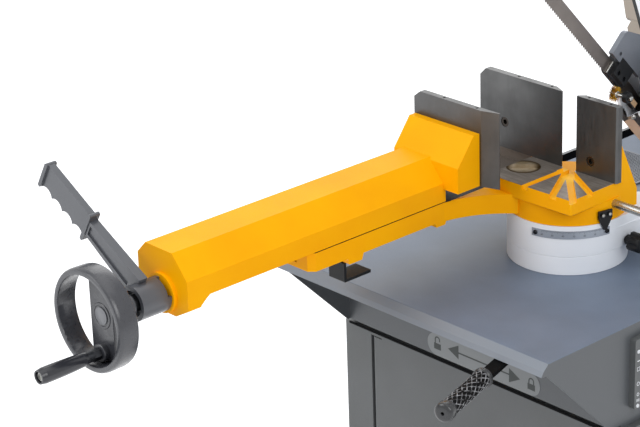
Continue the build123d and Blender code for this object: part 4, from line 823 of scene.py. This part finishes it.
def turretSign():  # shows which way the lever locks the turret
    u0, u1, v0, v1 = sign["left"], sign["right"], sign["low"], sign["high"]
    radius, middle = (v1 - v0) / 2, (v0 + v1) / 2
    capsule = arc(u1 - radius, middle, radius, -90, 90, 24) + arc(u0 + radius, middle, radius, 90, 270, 24)
    turnToWall = Matrix(((1, 0, 0), (0, 0, -1), (0, 1, 0))).to_4x4()
    place = Matrix.Translation(at(0, sign["wall"], 0)) @ turnToWall @ millimetres
    newPiece("turretSign", prism([capsule], -0.1, sign["thick"]), place, signGrey, "base")
    marks = padlock(*sign["open"]) + padlock(*sign["shut"])
    marks.append([(-99.0, -306.4), (-73.5, -318.8), (-73.5, -292.6)])
    marks.append([(71.3, -307.6), (46.0, -294.3), (46.0, -321.4)])
    marks.append(box(*sign["shaft"]))
    ink = prism(marks, sign["thick"] - 0.2, sign["thick"] + 0.15)
    newPiece("turretSignMarks", ink, place, signInk, "base")
    blackStrip, lip = prism([box(*panSeal)], 0.1, 1.2), prism([box(*doorLip)], 0.02, 0.6)
    newPiece("panSeal", blackStrip, place, special["lock_lever"], "base")
    newPiece("doorLip", lip, place, finish["dark_sheet"], "door")
    print("turret sign set")


panel = {"face": 287.0, "column": -146.4}


def panelMarks():  # plain pictograms beside the switches
    turnToPanel = Matrix(((0, 0, 1), (1, 0, 0), (0, 1, 0))).to_4x4()
    place = Matrix.Translation(at(panel["face"], 0, 0)) @ turnToPanel @ millimetres
    y = panel["column"]
    marks = [box(y - 3.4, y + 3.4, -217.8, -216.0)]
    marks += [ringBand(y, -258.4, 3.6, 2.6), ringBand(y, -277.6, 3.0, 2.0)]
    marks += [box(y - 3.6, y - 2.8, -235.0, -228.0), box(y + 2.8, y + 3.6, -235.0, -228.0)]
    marks += [box(y - 2.8, y + 2.8, -235.0, -234.2), box(y - 2.8, y + 2.8, -228.8, -228.0)]
    marks += [box(y + k, y + k + 1.2, -291.0, -286.0) for k in (-3.2, -0.6, 2.0)]
    newPiece("panelMarks", prism(marks, -0.05, 0.2), place, whiteInk, "base")
    print("panel marked")


screen = {"pitch": 5.0, "hole": 2.0}


def chipScreen():
    low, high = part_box("chip_screen")
    width, depth, thick = high[0] - low[0], high[1] - low[1], high[2] - low[2]
    pitch, hole = screen["pitch"] / 1000, screen["hole"] / 1000
    across, down = int(width / pitch) - 1, int(depth / pitch) - 1
    corners = [(sx * pitch / 2, sy * pitch / 2) for sx, sy in ((1, 1), (-1, 1), (-1, -1), (1, -1))]
    rim = [(hole * math.cos(math.radians(45 * k)), hole * math.sin(math.radians(45 * k))) for k in range(8)]
    verts = [(u, v, z) for z in (thick / 2, -thick / 2) for u, v in corners + rim]
    faces = []
    for base, flip in ((0, False), (12, True)):
        ring = []
        for k in range(4):
            c, n = base + k, base + (k + 3) % 4
            r = [base + 4 + (2 * k + j) % 8 for j in (0, 1, 2)]
            ring += [[c, r[2], r[1]], [c, r[1], r[0]], [n, c, r[0]]]
        faces += [face[::-1] for face in ring] if flip else ring
    faces += [[4 + k, 4 + (k + 1) % 8, 16 + (k + 1) % 8, 16 + k] for k in range(8)]
    mesh = bpy.data.meshes.new("screenCell")
    mesh.from_pydata(verts, [], faces)
    cell = newObject("screenCell", mesh)
    sizes = {"Across": across, "Down": down, "Pitch": pitch}
    tree, given = newTree("perforations", sizes)
    sheet = add(tree, "GeometryNodeMeshGrid")
    tree.links.new(given["Across"], sheet.inputs["Vertices X"])
    tree.links.new(given["Down"], sheet.inputs["Vertices Y"])
    for label, count in (("Size X", "Across"), ("Size Y", "Down")):
        gaps = calc(tree, "SUBTRACT", given[count], 1.0)
        tree.links.new(times(tree, gaps, given["Pitch"]), sheet.inputs[label])
    closeTree(tree, placed(tree, sheet.outputs["Mesh"], pattern(tree, cell)), finish["grey_plate"])
    place = Matrix.Translation([(a + b) / 2 for a, b in zip(low, high)])
    piece = grow("chipScreenHoles", tree, sizes, "base", place)
    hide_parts("chip_screen")
    bpy.data.objects.remove(cell)
    u, v, z = across * pitch / 2, down * pitch / 2, thick / 2
    edge = [box(-width / 2, width / 2, v, depth / 2), box(-width / 2, width / 2, -depth / 2, -v),
            box(-width / 2, -u, -v, v), box(u, width / 2, -v, v)]
    newPiece("chipScreenEdge", prism(edge, -z, z), place, finish["grey_plate"], "base")
    print("chip screen", len(piece.data.polygons), "faces")


guidePads = {"near": 0.75, "far": 4.0, "front": 79.0, "rear": 84.0, "low": -2.0, "high": 21.0}


def bandPads():  # carbide pads each side of the band where it enters the rear guide
    g = guidePads
    for name, side in (("bandPadLeft", -1), ("bandPadRight", 1)):
        u0, u1 = sorted((side * g["near"], side * g["far"]))
        outline = [(u0, g["front"] + 1), (u0 + 0.6, g["front"]), (u1 - 0.6, g["front"]), (u1, g["front"] + 1),
                   (u1, g["rear"]), (u0, g["rear"])]
        pad = prism([outline], g["low"], g["high"])
        newPiece(name, pad, bowPlace(), finish["bright_steel"], "bow")
    print("band pads set")


wheel = {"centre": (-147.0, -902.0, -22.5), "rim": 84.4, "inner": 73.5, "front": 22.5, "rear": -15.0,
         "web": 56.0, "webFace": -7.0, "hub": 21.4, "crank": 60.0, "pad": 15.0, "padFace": 2.8, "hole": 6.1}


def deepWheel():  # the photo's wheel has a deep rim, with the web and the flush hub at its rear
    w, gloss = wheel, special["handwheel"]
    toFront = Matrix(((1, 0, 0), (0, 0, -1), (0, 1, 0))).to_4x4()
    place = Matrix.Translation(at(*w["centre"])) @ toFront @ millimetres
    rim, inner, front, rear = w["rim"], w["inner"], w["front"], w["rear"]
    section = [(inner, front - 2.5), (inner + 0.8, front - 0.7), (inner + 3, front), (rim - 2.6, front - 0.6),
               (rim - 0.8, front - 2.8), (rim, front - 8), (rim - 0.4, rear + 8), (rim - 1.4, rear + 2),
               (rim - 3.6, rear), (inner + 3, rear + 0.4), (inner + 2, rear + 3), (inner, front - 2.5)]
    ring = newPiece("wheelRim", lathe(section, 96), place, gloss, "screw", True)
    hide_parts("handwheel")
    half, reach, back, face = w["web"] / 2, inner + 1.5, rear + 1.0, w["webFace"]
    bar = prism([box(-half, half, -reach, reach)], back, face)
    rounded(newPiece("wheelWeb", bar, place, gloss, "screw"), 0.001)
    hub = [(0, back - 0.2), (w["hub"], back - 0.2), (w["hub"], face + 0.6), (w["hub"] - 0.6, face + 1.2),
           (w["hub"] - 4.0, face + 1.2), (w["hub"] - 4.6, face + 0.4), (0, face + 0.4)]
    newPiece("wheelHub", lathe(hub), place, gloss, "screw", True)
    pad = [(w["hole"], back), (w["pad"], back), (w["pad"], w["padFace"] - 1), (w["pad"] - 1, w["padFace"]),
           (w["hole"], w["padFace"]), (w["hole"], back)]
    padPlace = place @ Matrix.Translation((0, -w["crank"], 0))
    newPiece("wheelPad", lathe(pad), padPlace, gloss, "screw", True)
    print("handwheel set")


crank = {"x": -147.0, "hub": (-896.4, -22.5), "axle": (-1014.0, -82.5)}


def crankCaps():  # a pale cap on the hub, and the screw sunk in the end of the grip
    y, z = crank["hub"]
    hub = facing(at(crank["x"], y, z), (0, -1, 0)) @ millimetres
    cap = [(0, -0.3), (14.4, -0.3), (14.4, 0.5), (13.8, 0.9), (0, 0.9)]
    newPiece("hubCap", lathe(cap), hub, hubGrey, "screw", True)
    y, z = crank["axle"]
    axle = facing(at(crank["x"], y, z), (0, -1, 0)) @ millimetres
    head = [(0, -0.3), (7.4, -0.3), (7.4, 1.8), (6.6, 2.4), (4.4, 2.4), (4.0, 0.8), (0, 0.8)]
    newPiece("gripScrew", lathe(head), axle, finish["bright_steel"], "screw", True)
    print("crank caps set")


headRadius = {"cover": 0.0052, "guide": 0.0041, "scale": 0.0042, "pointer": 0.0031, "panel": 0.0034}


def screwRows():
    bow, cant, bright = raisedBow(), cantedBow(), finish["bright_steel"]
    outward = (cant.to_3x3() @ Vector((0, 0, 1))).normalized()
    cover = [(-296, -4), (-460, -6), (-600, 150), (-450, 304), (-150, 306), (130, 304), (130, 222),
             (-200, 222), (168, -6), (168, 304), (312, 306), (459, 150), (312, -8)]
    spots = [(cant @ Vector((u, v, 50.0)), outward) for u, v in cover]
    screws("coverScrews", spots, headRadius["cover"], bright, "bow")
    side = (bow.to_3x3() @ Vector((1, 0, 0))).normalized()
    spots = [(bow @ at(11.4, y, 9), side) for y in (94, 114)]
    screws("rearGuideScrews", spots, headRadius["guide"], blackSteel, "bow")
    plate = []
    for degrees in (-79.0, -9.5):
        a = math.radians(degrees)
        plate.append((at(105.8 * math.cos(a), 105.8 * math.sin(a), -80), (math.cos(a), math.sin(a), 0)))
    screws("scaleScrews", plate, headRadius["scale"], blackSteel, "swivel")
    a = math.radians(scale["zero"])
    out, along = Vector((math.cos(a), math.sin(a), 0)), Vector((-math.sin(a), math.cos(a), 0))
    pointer = [(at(0, 0, -48) + (out * 111.5 + along * k) / 1000, out) for k in (-7, 7)]
    screws("pointerScrews", pointer, headRadius["pointer"], bright, "base")
    spots = [(at(panel["face"], y, z), (1, 0, 0)) for y in (-147.5, 50) for z in (-199.7, -298)]
    screws("panelScrews", spots, headRadius["panel"], whiteInk, "base")
    print("screws set")


chipBrush()
brushBracket()
shieldCorner()
lockGrip()
mitreMarks()
turretSign()
panelMarks()
chipScreen()
bandPads()
deepWheel()
crankCaps()
screwRows()
bpy.data.objects.remove(screwHead)


view = {"azimuth": 48.139, "elevation": 22.486, "roll": -1.921, "lens": 130.56,
        "spot": (2469.3, -2786.2, 1462.9)}


def studio():
    cameraData = bpy.data.cameras.new("camera")
    camera = newObject("camera", cameraData)
    azimuth, elevation, roll = [math.radians(view[key]) for key in ("azimuth", "elevation", "roll")]
    back = Vector((math.sin(azimuth) * math.cos(elevation), -math.cos(azimuth) * math.cos(elevation),
                   math.sin(elevation)))
    right = Vector((math.cos(azimuth), math.sin(azimuth), 0.0))
    up = back.cross(right)
    turnedRight = right * math.cos(roll) + up * math.sin(roll)
    turnedUp = up * math.cos(roll) - right * math.sin(roll)
    matrix = Matrix((turnedRight, turnedUp, back)).transposed().to_4x4()
    matrix.translation = at(*view["spot"])
    camera.matrix_world = matrix
    cameraData.lens = view["lens"]
    cameraData.sensor_width = 36.0
    cameraData.clip_end = 60.0
    scene = bpy.context.scene
    scene.camera = camera
    scene.view_settings.view_transform = "Standard"
    for spot, turn, size, power in (((-1.6, -3.4, 3.6), (48, 0, -26), 2.6, 70.0),
                                    ((3.6, -1.2, 3.2), (52, 0, 72), 2.4, 64.0),
                                    ((-2.6, 2.4, 3.4), (52, 0, 230), 2.6, 30.0),
                                    ((0.2, -0.2, 4.6), (0, 0, 0), 3.4, 30.0)):
        lightData = bpy.data.lights.new("softbox", "AREA")
        lightData.size = size
        lightData.energy = power
        light = newObject("softbox", lightData)
        light.location = spot
        light.rotation_euler = [math.radians(angle) for angle in turn]
    world = bpy.data.worlds.new("studio")
    scene.world = world
    world.use_nodes = True
    tree = world.node_tree
    light = tree.nodes["Background"]
    light.inputs["Color"].default_value = (0.92, 0.95, 1.0, 1.0)
    light.inputs["Strength"].default_value = 0.6
    white = add(tree, "ShaderNodeBackground")
    white.inputs["Color"].default_value = (1.0, 1.0, 1.0, 1.0)
    white.inputs["Strength"].default_value = 1.0
    either = add(tree, "ShaderNodeMixShader")
    tree.links.new(seenRays(tree), either.inputs["Fac"])
    tree.links.new(light.outputs["Background"], either.inputs[1])
    tree.links.new(white.outputs["Background"], either.inputs[2])
    tree.links.new(either.outputs["Shader"], tree.nodes["World Output"].inputs["Surface"])


def seenRays(tree):
    path = add(tree, "ShaderNodeLightPath")
    shine = calc(tree, "MAXIMUM", path.outputs["Is Glossy Ray"], path.outputs["Is Transmission Ray"])
    return calc(tree, "MAXIMUM", path.outputs["Is Camera Ray"], shine)


def floor():
    mesh = bpy.data.meshes.new("floor")
    reach = 6.0
    corners = [(x, y, -0.001) for x, y in box(-reach, reach, -reach, reach)]
    mesh.from_pydata(corners, [], [(0, 1, 2, 3)])
    ground = newObject("floor", mesh)
    material, tree, shader = newMaterial("paleFloor")
    shader.inputs["Base Color"].default_value = (0.9, 0.9, 0.9, 1.0)
    shader.inputs["Roughness"].default_value = 0.8
    shader.inputs["Emission Color"].default_value = (1.0, 1.0, 1.0, 1.0)
    tree.links.new(times(tree, seenRays(tree), 0.55), shader.inputs["Emission Strength"])
    mesh.materials.append(material)


studio()
floor()
print("studio set")
